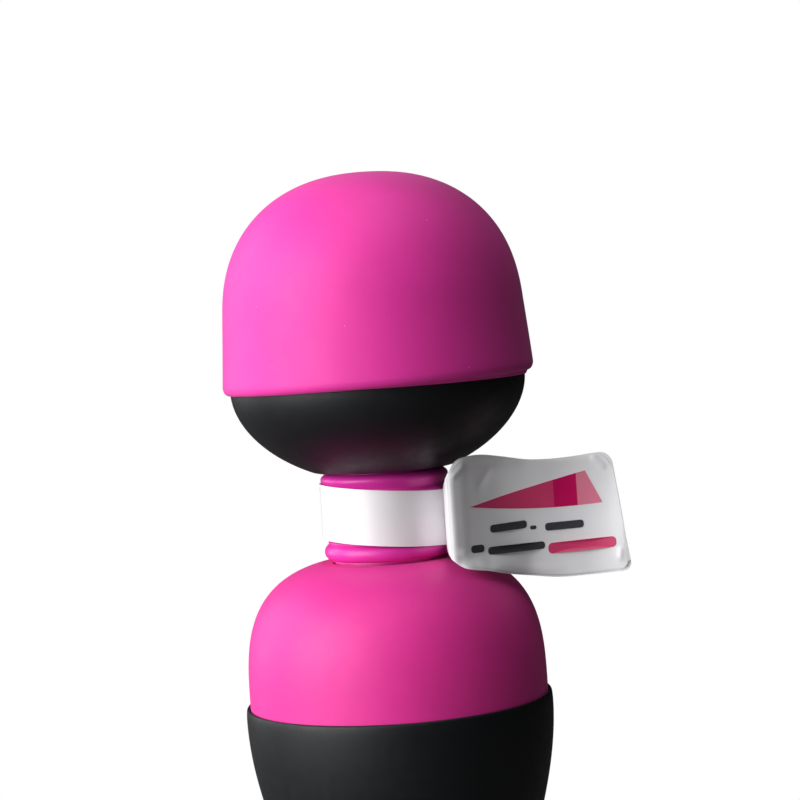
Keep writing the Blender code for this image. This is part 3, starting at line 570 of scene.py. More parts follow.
def make_materials():
    steel = (0.58, 0.58, 0.59)
    return {
        "silicone_fuchsia": silicone("cap_silicone", (0.88, 0.035, 0.392), 0.56, 0.4, 0.10),
        "neck_fuchsia": silicone("neck_silicone", (0.76, 0.035, 0.40), 0.36, 0.5),
        "shoulder_fuchsia": silicone("shoulder_softtouch", (0.86, 0.032, 0.335), 0.52, 0.4, 0.04),
        "button_fuchsia": silicone("button_silicone", (0.80, 0.035, 0.36), 0.46, 0.2),
        "charcoal_shell": moulded("charcoal_softtouch", (0.0050, 0.0058, 0.0072), 0.50, 0.14, 0.010, 0.40),
        "charcoal_dome": moulded("charcoal_dome_plastic", (0.012, 0.012, 0.014), 0.40, 0.22, 0.012, 0.4),
        "flap_silicone": moulded("flap_rubber", (0.009, 0.009, 0.010), 0.55, 0.12, 0.010, 0.3),
        "label_film": film("label_film_white", (0.94, 0.94, 0.96), 0.34, 0.25),
        "black_rubber": moulded("seal_rubber", (0.012, 0.012, 0.012), 0.66, 0.3, 0.02, 0.35),
        "inner_nylon": moulded("glass_filled_nylon", (0.055, 0.056, 0.060), 0.50, 0.35, 0.02, 0.45, 0.12),
        "screw_steel": metal("zinc_plated_steel", steel, 0.30, (1.0, 1.0, 0.3)),
        "spring_steel": metal("spring_wire", (0.50, 0.50, 0.52), 0.24, (1.0, 1.0, 0.2)),
        "motor_steel": metal("drawn_motor_can", (0.62, 0.62, 0.63), 0.28, (1.0, 1.0, 0.05)),
        "magnet_ferrite": moulded("ferrite", (0.035, 0.034, 0.037), 0.62, 0.2, 0.03, 0.5, 0.2),
        "motor_end_nylon": moulded("natural_nylon", (0.62, 0.60, 0.53), 0.42, 0.3, 0.01, 0.45),
        "bronze_bush": metal("sintered_bronze", (0.52, 0.36, 0.15), 0.42, (1.0, 1.0, 1.0), 0.15),
        "armature_winding": winding("armature_copper"),
        "copper_segments": metal("commutator_copper", (0.72, 0.33, 0.17), 0.25, (0.2, 0.2, 1.0)),
        "weight_brass": metal("turned_brass", (0.62, 0.47, 0.20), 0.28, (0.2, 0.2, 1.0)),
        "lead_red_pvc": moulded("red_insulation", (0.52, 0.018, 0.016), 0.38, 0.4, 0.01, 0.5, 0.1),
        "lead_black_pvc": moulded("black_insulation", (0.016, 0.016, 0.016), 0.38, 0.4, 0.01),
        "cell_wrap": moulded("cell_shrink_wrap", (0.03, 0.16, 0.36), 0.24, 1.4, 0.03, 0.5, 0.08),
        "nickel_strip": metal("nickel_strip_metal", (0.64, 0.61, 0.55), 0.26, (0.1, 1.0, 1.0)),
        "board_green": circuit("circuit_board"),
        "switch_metal": metal("switch_plate", (0.60, 0.60, 0.60), 0.33, (1.0, 0.1, 1.0)),
        "socket_metal": metal("socket_plate", (0.56, 0.56, 0.57), 0.26, (0.1, 1.0, 1.0)),
        "led_body": moulded("led_resin", (0.72, 0.72, 0.66), 0.2, 0.8, 0.01),
        "lens_clear": clear_plastic("lens_acrylic"),
        "laminate": film("label_laminate", (0.97, 0.97, 0.98), 0.22, 0.6),
        "print_pink": film("print_pink", (0.74, 0.055, 0.18), 0.36, 0.2),
        "print_deep": film("print_deep_pink", (0.66, 0.0, 0.115), 0.36, 0.2),
        "print_light": film("print_light_pink", (0.86, 0.24, 0.36), 0.33, 0.3),
        "print_grey": film("print_grey", (0.055, 0.055, 0.065), 0.4, 0.2),
    }


def dress(item, look):
    """Give an object a material in place of any it has."""
    item.data.materials.clear()
    item.data.materials.append(look)


def place(item, body, slot, looks, *nodes, look=None):
    """Finish one piece: its body, the CAD nodes it stands for, and its slot's look or another."""
    dress(item, looks[look or slot])
    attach(item, body)
    if nodes:
        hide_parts(*nodes)


def bend(item, slot, look, node, first, second, low, high):
    """Finish a piece of a part that bends from one body to the next: give it its look, fix it in world
    coordinates and hide the CAD node. The slot, the two bodies and the two heights are not used.
    """
    dress(item, look)
    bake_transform(item)
    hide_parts(node)


# Head

def make_cap(looks):
    outer = head_curve(0.0, CAP_RIM_Z + RIM_ROUND, 72)
    inner = head_curve(CAP_WALL, DOME_FLANGE_TOP_Z + 0.3, 32)
    rim = CAP_HALF_WIDTH + CAP_TAPER * (HEIGHT - CAP_RIM_Z - RIM_ROUND)
    reach = min(RIM_ROUND, rim - RIM_BORE - 0.25)
    outline = [(RIM_BORE, DOME_FLANGE_TOP_Z + 0.3), (RIM_BORE, CAP_RIM_Z + 0.2), (RIM_BORE + 0.15, CAP_RIM_Z)]
    for angle in spread(-90.0, 0.0, 8):
        turn = math.radians(angle)
        height = CAP_RIM_Z + RIM_ROUND + RIM_ROUND * math.sin(turn)
        outline.append((rim - reach + reach * math.cos(turn), height))
    outline.extend(outer[1:])
    outline.extend(reversed(inner))
    cap = turned("cap_skin", outline)
    rim_ring = 2
    pole_ring = outline.index(outer[-1])
    for vertex in cap.data.vertices[rim_ring * FINE:pole_ring * FINE]:
        share = smooth((CAP_LEVEL_Z - vertex.co.z / MM) / (CAP_LEVEL_Z - CAP_RIM_Z))
        vertex.co.z += share * (CAP_LIFT * MM + CAP_TILT * vertex.co.x)
        vertex.co.x += share * CAP_SHIFT * MM
    place(cap, "cap", "silicone_fuchsia", looks, "massage_cap")


def make_bowl(looks):
    outer = bowl_curve(0.0, BOWL_SEAT_RADIUS + 0.25, 64)
    inner = bowl_curve(WALL, 9.1, 32)
    seat = outer[-1]
    outline = [(9.1, seat[1] - 0.1), (seat[0] - 0.45, seat[1] - 0.1), *reversed(outer)]
    outline += [(BOWL_RADIUS, BOWL_TOP_Z - 0.15), (BOWL_RADIUS - 0.15, BOWL_TOP_Z), (23.0, BOWL_TOP_Z)]
    outline += [(23.0, BOWL_CENTRE + 0.2), (BOWL_RADIUS - WALL, BOWL_CENTRE + 0.2), *inner]
    bowl = turned("bowl_shell", outline)
    place(bowl, "head", "charcoal_shell", looks, "head_bowl")


def make_dome(looks):
    outer = head_curve(CAP_WALL + 0.25, DOME_FLANGE_TOP_Z, 56)
    inner = head_curve(CAP_WALL + 0.25 + WALL, DOME_BASE_Z, 32)
    flange = DOME_FLANGE_RADIUS
    outline = [(flange - 0.2, DOME_BASE_Z), (flange, DOME_BASE_Z + 0.2), (flange, DOME_FLANGE_TOP_Z - 0.2)]
    outline += [(flange - 0.2, DOME_FLANGE_TOP_Z), *outer, *reversed(inner)]
    dome = turned("dome_shell", outline)
    for index, angle in enumerate(SCREW_ANGLES):
        centre = on_circle(SCREW_CIRCLE, angle)
        top = POCKET_FLOOR_Z + 2.0
        boss = [(0.0, DOME_BASE_Z), (2.8, DOME_BASE_Z), (2.8, top), (0.0, top)]
        combine(dome, "UNION", turned(f"dome_boss_{index}", boss, 48, centre))
    for index, angle in enumerate(SCREW_ANGLES):
        centre = on_circle(SCREW_CIRCLE, angle)
        pocket = [(0.0, 146.0), (1.4, 146.0), (1.4, POCKET_FLOOR_Z), (2.3, POCKET_FLOOR_Z)]
        pocket += [(2.3, 172.0), (0.0, 172.0)]
        combine(dome, "DIFFERENCE", turned(f"dome_pocket_{index}", pocket, 48, centre))
    place(dome, "head", "charcoal_dome", looks, "head_dome")


def make_head_screws(looks):
    """Pan-head screws with a cross recess, down in the dome's pockets."""
    for index, angle in enumerate(SCREW_ANGLES):
        centre = on_circle(SCREW_CIRCLE, angle)
        head = POCKET_FLOOR_Z + 0.1
        outline = [(0.0, 143.0), (0.35, 143.05), (0.8, 143.5)]
        for level in spread(144.2, head - 0.5, 14):
            outline += [(0.82, level), (1.08, level + 0.25)]
        outline += [(1.1, head), (1.9, head), (2.0, head + 0.1), (2.0, head + 0.75)]
        outline += [(1.9, head + 1.05), (1.62, head + 1.33), (1.2, head + 1.51), (0.6, head + 1.6)]
        outline += [(0.0, head + 1.62)]
        screw = turned(f"pan_screw_{index + 1}", outline, 48, centre)
        for turn in (0.0, 90.0):
            rim = slab_outline(0.0, 0.0, 1.15, 0.2, 0.1, 3)
            bar = patch("cross", rim, [(0.0, flat(-0.3)), (0.0, flat(2.0))], 2)
            bar.data.transform(Matrix.Rotation(math.radians(turn + 20.0 * index), 4, "Y"))
            combine(screw, "DIFFERENCE", along_z(bar, centre, head + 1.0))
        place(screw, "head", "screw_steel", looks, f"head_screw_{index + 1}")


# Neck

def make_neck(looks):
    """The sleeve in two halves, which meet under the label's band."""
    slot = "silicone_fuchsia"
    look = looks["neck_fuchsia"]
    low_end = NECK_MEET_Z - 0.1
    high_end = NECK_MEET_Z + 0.1
    lower = [(NECK_BORE, 113.2), (11.2, 113.2), (11.2, 115.1), (NECK_STEM, 115.1), (NECK_STEM, 118.0)]
    lower += [(9.2, 118.05), *corner((9.0, 119.55), 1.35, -82.0, 68.0, 14)]
    lower += [*corner((10.05, 121.25), 0.42, 205.0, 150.0, 4), *corner((9.73, 122.2), 0.55, -50.0, 0.0, 4)]
    lower += [(SLEEVE_RADIUS, low_end), (NECK_BORE, low_end)]
    item = turned("neck_lower", lower)
    bend(item, slot, look, "neck_sleeve", "handle", "neck", *LOWER_BEND)
    upper = [(NECK_BORE, high_end), (SLEEVE_RADIUS, high_end), *corner((9.78, 129.0), 0.5, 0.0, 60.0, 4)]
    upper += [*corner((10.1, 129.85), 0.4, 230.0, 150.0, 5), *corner((9.6, 131.15), 0.68, -35.0, 48.0, 8)]
    upper += [(9.6, 132.05), (NECK_STEM, 132.2), (NECK_STEM, 135.2), (10.7, 135.2), (10.7, 136.4)]
    upper += [(NECK_BORE, 136.4)]
    item = turned("neck_upper", upper)
    bend(item, slot, look, "neck_sleeve", "neck", "head", *UPPER_BEND)


def wire(name, path, radius, reference, sides=16):
    """Round wire along a path, with flat ends."""
    path = [Vector(point) for point in path]
    rings = [[path[0]]]
    for index, point in enumerate(path):
        before = path[max(index - 1, 0)]
        after = path[min(index + 1, len(path) - 1)]
        along = (after - before).normalized()
        side = along.cross(Vector(reference)).normalized()
        up = side.cross(along)
        ring = []
        for step in range(sides):
            turn = 2.0 * math.pi * step / sides
            ring.append(point + (side * math.cos(turn) + up * math.sin(turn)) * radius)
        rings.append(ring)
    rings.append([path[-1]])
    return loft(name, rings)


def bending_wire(name, path, radius, reference, slot, look):
    """A wire through the neck in two halves, which meet in the middle."""
    halves = (("lower", 0.0, NECK_MEET_Z - 0.05, "handle", "neck", 112.0, 125.0),
              ("upper", NECK_MEET_Z + 0.05, HEIGHT, "neck", "head", 126.0, 137.0))
    for half, low, high, first, second, start, end in halves:
        part = [point for point in path if low <= point[2] <= high]
        item = wire(f"{name}_{half}", part, radius, reference)
        bend(item, slot, look, name, first, second, start, end)


def make_neck_wires(looks):
    """The neck's spring and the motor's two leads."""
    coil = []
    for share in spread(0.0, 1.0, SPRING_TURNS * 48):
        turn = 2.0 * math.pi * SPRING_TURNS * share
        height = SPRING_LOW_Z + (SPRING_HIGH_Z - SPRING_LOW_Z) * share
        coil.append((SPRING_RADIUS * math.cos(turn), SPRING_RADIUS * math.sin(turn), height))
    bending_wire("neck_spring", coil, 0.7, (0.0, 0.0, 1.0), "spring_steel", looks["spring_steel"])
    for colour, side in (("red", -1.0), ("black", 1.0)):
        path = []
        for share in spread(0.0, 1.0, 160):
            inward = 0.5 - 0.5 * math.cos(math.pi * min(share / 0.45, 1.0))
            height = LEAD_LOW_Z + (LEAD_HIGH_Z - LEAD_LOW_Z) * share
            path.append((2.2 * side, LEAD_START_Y * (1.0 - 0.85 * inward), height))
        slot = f"lead_{colour}_pvc"
        bending_wire(f"motor_lead_{colour}", path, 0.6, (1.0, 0.0, 0.0), slot, looks[slot])


# Label

# Along the flag: x, y, lower edge and upper edge
FLAG_STATIONS = (
    (9.35, -5.8, 119.6, 129.3),
    (9.44, -11.4, 118.9, 130.5),
    (9.95, -13.0, 118.2, 131.8),
    (11.4, -12.6, 117.1, 133.7),
    (13.2, -11.2, 116.5, 134.2),
    (15.6, -9.45, 116.0, 134.2),
    (19.05, -7.4, 114.9, 133.5),
    (22.8, -5.8, 114.1, 132.7),
    (26.9, -5.0, 113.55, 132.45),
    (31.1, -5.0, 113.6, 132.6),
    (34.7, -5.4, 113.85, 132.9),
    (37.4, -5.9, 113.95, 132.95),
)
FLAG_END = 37.15
FLAG_NEAR_X = 13.0
FLAG_CORNER = 1.7
FLAG_LEAN = -0.115
FLAG_MIDDLE_Z = 124.0
FRONT_INSET = 0.4
# The print's lower and upper face above the film, and the ends of its deep pink block
INK_UNDER = 0.015
INK_OVER = 0.045
BLOCK_FROM_X = 26.7
BLOCK_TO_X = 30.45
# Creases in the flag: from (x, z), to (x, z), depth towards the back, half width
CREASES = (
    ((10.4, 119.8), (15.8, 117.0), -0.32, 0.45),
    ((10.3, 130.9), (12.8, 133.2), -0.30, 0.40),
    ((12.8, 133.0), (22.5, 131.9), -0.20, 0.50),
    ((14.2, 128.6), (17.2, 132.4), 0.16, 0.60),
    ((32.8, 132.6), (35.4, 130.2), -0.26, 0.45),
    ((36.5, 115.4), (36.8, 117.9), -0.22, 0.35),
    ((18.0, 116.0), (28.0, 114.7), -0.16, 0.55),
)


def through(table, x, column):
    """Smooth value of a column at x, through the rows of a table whose first column is x."""
    last = len(table) - 1
    index = max(i for i in range(last) if i == 0 or table[i][0] <= x)
    before = table[max(index - 1, 0)]
    here = table[index]
    after = table[index + 1]
    beyond = table[min(index + 2, last)]
    gap = after[0] - here[0]
    share = min(max((x - here[0]) / gap, 0.0), 1.0)
    leave = (after[column] - before[column]) / (after[0] - before[0]) * gap
    arrive = (beyond[column] - here[column]) / (beyond[0] - here[0]) * gap
    cube = share ** 3
    square = share ** 2
    return (here[column] * (2.0 * cube - 3.0 * square + 1.0) + leave * (cube - 2.0 * square + share)
            + after[column] * (3.0 * square - 2.0 * cube) + arrive * (cube - square))


def crease(x, z, first, last, depth, width):
    """Depth at (x, z) of one straight crease, which fades towards its ends."""
    run = (last[0] - first[0], last[1] - first[1])
    length = math.hypot(*run)
    along = ((x - first[0]) * run[0] + (z - first[1]) * run[1]) / length
    aside = ((z - first[1]) * run[0] - (x - first[0]) * run[1]) / length
    ends = smooth(along / (0.25 * length)) * smooth((length - along) / (0.25 * length))
    return depth * ends * math.exp(-(aside / width) ** 2)


def flag_wave(x, z):
    """How far the flag's film bows towards the back, in millimetres."""
    away = smooth((x - 12.0) / 8.0)
    high = (z - FLAG_MIDDLE_Z) / 10.0
    bow = 0.20 * math.sin(0.42 * (x - 14.0) + 0.5 * high) + 0.14 * math.sin(0.27 * x - 1.6 * high)
    ends = 0.4 * smooth((x - 31.0) / 6.0) * (0.4 + high)
    near = smooth((x - 10.0) / 3.0) * (1.0 - smooth((x - 16.0) / 7.0))
    curl = -1.7 * near * smooth((119.0 - z) / 3.2) - 0.6 * near * smooth((z - 131.5) / 2.5)
    folds = sum(crease(x, z, *line) for line in CREASES)
    return away * (bow + ends) + curl + folds


def flag_depth(x, z):
    """Middle surface of the flag."""
    x = min(max(x, FLAG_STATIONS[0][0]), FLAG_STATIONS[-1][0])
    return through(FLAG_STATIONS, x, 1) + flag_wave(x, z)


def flag_slope(x):
    """Depth gained per millimetre along X."""
    low = max(x - 0.05, FLAG_STATIONS[0][0])
    high = min(x + 0.05, FLAG_STATIONS[-1][0])
    return (through(FLAG_STATIONS, high, 1) - through(FLAG_STATIONS, low, 1)) / (high - low)


def flag_edges(x, trim):
    """Lower and upper edge of the flag at x, with round corners at its end."""
    lower = through(FLAG_STATIONS, x, 2) + trim
    upper = through(FLAG_STATIONS, x, 3) - trim
    into = x - (FLAG_END - trim - FLAG_CORNER)
    if into > 0.0:
        drop = FLAG_CORNER - math.sqrt(max(FLAG_CORNER ** 2 - into ** 2, 0.0))
        lower += drop * 0.7
        upper -= drop
    return lower, upper


def flag_lean(x, z):
    """The flag's end leans: its top is nearer the neck than its foot."""
    return x + FLAG_LEAN * (z - FLAG_MIDDLE_Z) * smooth((x - 24.0) / 12.0)


def flag_columns(offset, trim):
    """Columns of one layer of the flag, from its end to its root: x, offset, lower and upper edge."""
    stations = []
    for turn in spread(0.0, 90.0, 10):
        stations.append(FLAG_END - FLAG_CORNER * (1.0 - math.cos(math.radians(turn))))
    stations += spread(FLAG_END - FLAG_CORNER, FLAG_NEAR_X, 76)[1:]
    root = FLAG_STATIONS[0][0]
    stations += [root + (FLAG_NEAR_X - root) * share * share for share in spread(1.0, 0.0, 28)[1:]]
    return [(x, offset, *flag_edges(x, trim)) for x in stations]


def flag_line(column, rows):
    """Points up one column of a flag layer, which lies offset from the flag's middle surface."""
    x, offset, lower, upper = column
    line = []
    for z in spread(lower, upper, rows):
        place_x = flag_lean(x, z)
        slope = flag_slope(place_x)
        stretch = math.hypot(1.0, slope)
        depth = flag_depth(place_x, z) - offset / stretch
        line.append(Vector((place_x + offset * slope / stretch, depth, z)))
    return line


def band_line(angle, rows):
    """Points up the band at one angle round the neck."""
    x, y = on_circle(BAND_RADIUS, angle)
    centre = BAND_CENTRE_Z - BAND_SKEW * x
    return [Vector((x, y, z)) for z in spread(centre - BAND_HALF_HEIGHT, centre + BAND_HALF_HEIGHT, rows)]


def film_body(name, grid):
    """Solid film whose middle surface runs through the lines of a grid."""
    half = FILM_THICKNESS / 2.0
    last = len(grid) - 1
    points = []
    for index, line in enumerate(grid):
        before = grid[max(index - 1, 0)]
        after = grid[min(index + 1, last)]
        inner = []
        outer = []
        for row, point in enumerate(line):
            along = after[row] - before[row]
            side = Vector((along.y, -along.x, 0.0)).normalized() * half
            inner.append(point + side)
            outer.append(point - side)
        points += inner + outer[::-1]
    count = 2 * len(grid[0])
    faces = []
    for ring in range(last):
        low = ring * count
        for step in range(count):
            follow = (step + 1) % count
            faces.append((low + step, low + follow, low + count + follow, low + count + step))
    for ring in (0, last):
        low = ring * count
        for row in range(len(grid[0]) - 1):
            faces.append((low + row, low + row + 1, low + count - 2 - row, low + count - 1 - row))
    return mesh_object(name, points, faces, 50.0)


def make_tag(looks):
    """Film round the neck and out along the flag's front, with the flag's back layer stuck to it."""
    rows = 44
    half = (FILM_THICKNESS + FILM_GAP) / 2.0
    front = [flag_line(column, rows) for column in flag_columns(half, FRONT_INSET)]
    front += [band_line(angle, rows) for angle in spread(-41.0, -396.0, 150)]
    tag = film_body("tag_film", front)
    place(tag, "neck", "label_film", looks, "neck_tag")
    back = [flag_line(column, rows) for column in flag_columns(-half, 0.0)]
    backing = film_body("tag_backing", back)
    place(backing, "neck", "label_film", looks, "neck_tag", look="laminate")


def make_print(looks):
    """Wedge and word-like bars printed on the flag's front."""
    def ink(lift):
        proud = FILM_THICKNESS + FILM_GAP / 2.0 + lift
        return lambda x, z: flag_depth(x, z) - proud * math.hypot(1.0, flag_slope(x))

    under = ink(INK_UNDER)
    over = ink(INK_OVER)
    tip = (13.2, 126.2)
    heel = (34.37, 125.0)
    apex = (31.9, 130.2)

    def wedge_low(x):
        share = (x - tip[0]) / (heel[0] - tip[0])
        return tip[1] + (heel[1] - tip[1]) * share - 3.1 * share * (1.0 - share)

    def wedge_high(x):
        if x <= apex[0]:
            return tip[1] + (apex[1] - tip[1]) * (x - tip[0]) / (apex[0] - tip[0])
        return apex[1] + (heel[1] - apex[1]) * (x - apex[0]) / (heel[0] - apex[0])

    for name, first, last, look in (("print_wedge_tip", tip[0], BLOCK_FROM_X, "print_pink"),
                                    ("print_wedge_block", BLOCK_FROM_X, BLOCK_TO_X, "print_deep"),
                                    ("print_wedge_heel", BLOCK_TO_X, heel[0], "print_light")):
        xs = spread(first, last, 24)
        if first < apex[0] < last:
            xs = sorted(xs + [apex[0]])
        rings = []
        for x in xs:
            low = wedge_low(x)
            high = max(wedge_high(x), low + 0.02)
            ring = [(x, under(x, z), z) for z in spread(low, high, 6)]
            ring += [(x, over(x, z), z) for z in spread(high, low, 6)]
            rings.append(ring)
        middle_first = tuple(sum(axis) / len(rings[0]) for axis in zip(*rings[0]))
        middle_last = tuple(sum(axis) / len(rings[-1]) for axis in zip(*rings[-1]))
        wedge = loft(name, [[middle_first], *rings, [middle_last]])
        place(wedge, "neck", "label_film", looks, look=look)
    # Bars: from x, to x, height, half height, slope and colour
    words = (
        (16.15, 22.1, 122.4, 0.62, 0.02, "print_grey"),
        (22.6, 23.6, 121.8, 0.3, 0.0, "print_grey"),
        (25.0, 31.2, 121.75, 0.62, 0.02, "print_grey"),
        (12.9, 15.0, 119.55, 0.6, -0.03, "print_grey"),
        (15.6, 24.8, 118.9, 0.6, -0.01, "print_grey"),
        (25.3, 36.1, 118.45, 0.85, 0.045, "print_pink"),
    )
    for index, (first, last, height, half_height, slope, look) in enumerate(words):
        outline = slab_outline((first + last) / 2.0, height, (last - first) / 2.0, half_height,
                               half_height * 0.8, slope=slope)
        bar = patch(f"print_bar_{index + 1}", outline, [(0.0, under), (0.0, over)], 4)
        place(bar, "neck", "label_film", looks, look=look)


# Shoulder and handle

def make_shoulder(looks):
    outer = shoulder_curve(0.0, SHOULDER_SEAT_RADIUS + 0.3, 72)
    inner = shoulder_curve(WALL, 11.5, 28)
    outline = [(SKIRT_RADIUS, 87.5), (SKIRT_RADIUS, 94.3), (SHOULDER_RADIUS, 94.3), *outer]
    top = outer[-1][1]
    outline += [(SHOULDER_SEAT_RADIUS, top - 0.03), (9.3, top - 0.03), (9.1, top - 0.2)]
    outline += [(9.1, inner[-1][1] + 0.1), *reversed(inner), (20.4, 94.0), (20.4, 87.5)]
    shoulder = turned("shoulder_shell", outline)
    place(shoulder, "handle", "shoulder_fuchsia", looks, "shoulder_cover")


def make_handle(looks):
    outer = [(handle_radius(height), height) for height in spread(SHELL_BOTTOM_Z + 0.15, HANDLE_WIDE_Z, 84)]
    inner = [(handle_radius(height) - WALL, height) for height in spread(15.0, 86.1, 40)]
    wide = HANDLE_WIDE_RADIUS
    outline = [(SHELL_MOUTH, SHELL_BOTTOM_Z), (outer[0][0] - 0.15, SHELL_BOTTOM_Z), *outer]
    outline += [(wide - 0.03, 94.3), (wide - 0.08, 94.85), (wide - 0.14, 95.08), (wide - 0.24, 95.23)]
    outline += [(wide - 0.36, LIP_Z), (24.32, LIP_Z), (24.25, 95.2), (24.25, 94.0), (22.55, 94.0)]
    outline += [(22.55, 87.2)]
    outline += [(inner[-1][0], 86.1), *reversed(inner[:-1]), (SHELL_MOUTH, 13.6)]
    shell = turned("handle_skin", outline)
    skin = handle_face(0.0)
    for index, height in enumerate((PLUS_Z, MINUS_Z)):
        rim = round_outline(0.0, height, BUTTON_RADIUS + 0.3, 96)
        layers = [(0.0, flat(8.0)), (0.0, sunk(skin, 0.3)), (0.3, skin), (0.6, sunk(skin, -0.3))]
        layers += [(0.6, flat(26.0))]
        combine(shell, "DIFFERENCE", patch(f"key_hole_{index}", rim, layers, 3))
    layers = [(0.0, flat(8.0)), (0.0, sunk(skin, 0.15)), (0.3, sunk(skin, -0.15)), (0.3, flat(26.0))]
    combine(shell, "DIFFERENCE", patch("lens_hole", round_outline(0.0, LENS_Z, 1.5, 48), layers, 2))
    flap_middle = (FLAP_LOW_Z + FLAP_HIGH_Z) / 2.0 + 0.1
    window = slab_outline(0.0, flap_middle, FLAP_HALF_WIDTH + 0.3, 4.65, 1.7)
    layers = [(0.0, handle_face(-1.3)), (0.0, sunk(skin, 0.2)), (0.4, sunk(skin, -0.2)), (0.4, flat(28.0))]
    combine(shell, "DIFFERENCE", patch("flap_window", window, layers, 10))
    slot = slab_outline(0.0, SOCKET_Z + 0.05, 4.9, 1.95, 1.9)
    combine(shell, "DIFFERENCE", patch("port_slot", slot, [(0.0, flat(12.0)), (0.0, flat(26.0))], 3))
    place(shell, "handle", "charcoal_shell", looks, "handle_shell")


def make_keys(looks):
    """Round buttons whose faces follow the handle, with a raised plus and minus."""
    face = handle_face(BUTTON_PROUD)
    for name, height in (("plus", PLUS_Z), ("minus", MINUS_Z)):
        layers = [(0.0, flat(BUTTON_BACK_Y + 0.4)), *soft_edge(face, 0.6, steps=6)]
        key = patch(f"{name}_key", round_outline(0.0, height, BUTTON_RADIUS, 96), layers, 10)
        flange = round_outline(0.0, height, 5.6, 96)
        tool = patch("flange", flange, [(0.0, flat(BUTTON_BACK_Y)), (0.0, flat(BUTTON_BACK_Y + 0.8))], 3)
        combine(key, "UNION", tool)
        raised = [(0.0, sunk(face, 0.25)), *soft_edge(sunk(face, -0.22), 0.12, steps=3)]
        bars = [(1.9, 0.42)] if name == "minus" else [(1.9, 0.42), (0.42, 1.9)]
        for wide, tall in bars:
            mark = patch("mark", slab_outline(0.0, height, wide, tall, 0.4), raised, 5)
            combine(key, "UNION", mark)
        place(key, f"{name}_button", "button_fuchsia", looks, f"{name}_button")


def make_flap(looks):
    """Soft door over the charge socket, with a plug behind it and a lift groove near its top edge."""
    middle = (FLAP_LOW_Z + FLAP_HIGH_Z) / 2.0
    outline = slab_outline(0.0, middle, FLAP_HALF_WIDTH, (FLAP_HIGH_Z - FLAP_LOW_Z) / 2.0, 1.5)
    skin = handle_face(0.0)
    layers = [(0.0, handle_face(-1.0)), *soft_edge(sunk(skin, 0.02), 0.3, steps=4)]
    flap = patch("flap_door", outline, layers, 12)
    plug = slab_outline(0.0, 17.35, 3.9, 0.95, 0.9)
    layers = [(-0.2, flat(17.9)), (0.0, flat(18.1)), (0.0, flat(20.0))]
    combine(flap, "UNION", patch("flap_plug", plug, layers, 3))
    groove = slab_outline(0.0, FLAP_HIGH_Z - 0.9, 2.4, 0.32, 0.3)
    layers = [(0.0, sunk(skin, 0.3)), (0.15, sunk(skin, -0.1)), (0.15, flat(28.0))]
    combine(flap, "DIFFERENCE", patch("lift_groove", groove, layers, 3))
    place(flap, "port_flap", "flap_silicone", looks, "port_flap")


def make_lens(looks):
    face = handle_radius(LENS_Z) + 0.1
    layers = [(0.7, flat(10.2)), (0.7, flat(11.0)), (0.0, flat(11.0)), *soft_edge(flat(face), 0.35)]
    lens = patch("lens_window", round_outline(0.0, LENS_Z, 1.2, 40), layers, 4)
    place(lens, "handle", "lens_clear", looks, "indicator_lens")


def make_socket(looks):
    """Charge socket: a drawn oval tube round a thin tongue."""
    shell = patch("socket_shell", slab_outline(0.0, SOCKET_Z, 4.45, 1.65, 1.6, 12),
                  [(0.0, flat(10.4)), (0.0, flat(17.3)), (-0.1, flat(17.4))], 3)
    room = slab_outline(0.0, SOCKET_Z, 4.1, 1.3, 1.25, 12)
    combine(shell, "DIFFERENCE", patch("room", room, [(0.0, flat(11.4)), (0.0, flat(20.0))], 3))
    tongue = slab_outline(0.0, SOCKET_Z, 3.3, 0.35, 0.1, 3)
    layers = [(0.0, flat(11.0)), (0.0, flat(16.7)), (-0.1, flat(16.8))]
    combine(shell, "UNION", patch("tongue", tongue, layers, 3))
    place(shell, "handle", "socket_metal", looks, "charge_socket")


# Base

def make_base(looks):
    outer = [(handle_radius(height), height) for height in spread(0.6, SHELL_BOTTOM_Z - 0.45, 22)]
    edge = outer[-1]
    outline = [(0.0, 2.0), (13.8, 2.0), (13.8, 0.75), (13.95, 0.6), *outer]
    outline += [(edge[0] - 0.15, SHELL_BOTTOM_Z - 0.3)]
    outline += [(18.0, 7.7), (18.0, 10.0), (17.2, 10.0), (17.2, 11.4), (18.0, 11.4), (18.0, 13.0)]
    outline += [(15.8, 13.0), (15.8, 4.4), (0.0, 4.4)]
    base = turned("base_shell", outline)
    shelf = slab_outline(0.0, 11.65, 5.4, 2.65, 0.3)
    combine(base, "UNION", patch("board_shelf", shelf, [(0.0, flat(14.5)), (0.0, flat(16.2))], 2))
    for index, centre in enumerate(((10.5, 4.0), (-10.5, 4.0))):
        well = [(0.0, 1.0), (2.3, 1.0), (2.3, 3.2), (1.4, 3.2), (1.4, 6.0), (0.0, 6.0)]
        combine(base, "DIFFERENCE", turned(f"screw_well_{index}", well, 48, centre))
    place(base, "handle", "charcoal_shell", looks, "base_cap")
    foot = [(0.0, 0.25)]
    for groove in (4.0, 7.0, 10.0):
        foot += [(groove - 0.75, 0.25), (groove - 0.6, 0.0), (groove + 1.6, 0.0), (groove + 1.75, 0.25)]
    foot += [(12.25, 0.25), (12.4, 0.0), (13.1, 0.0), *corner((13.1, 0.4), 0.4, -90.0, 0.0, 4)]
    foot += [(13.5, 1.8), (0.0, 1.8)]
    pad = turned("foot_ring", foot, ROUND)
    place(pad, "handle", "black_rubber", looks, "foot_pad")


def dress_inner_parts(looks):
    """Every CAD node that stays gets the finish of its slot."""
    for row in frame["record"]["subparts"]:
        dress(frame["nodes"][row["node"]], looks[row["material_slot"]])


# Stage

FLOOR_PALE = 0.86
FLOOR_RETURN = 0.12
FADE_START = 0.04
FADE_END = 0.30
AMBIENT = 0.08
MIRRORED = 0.02
WHITE = (1.0, 1.0, 1.0, 1.0)


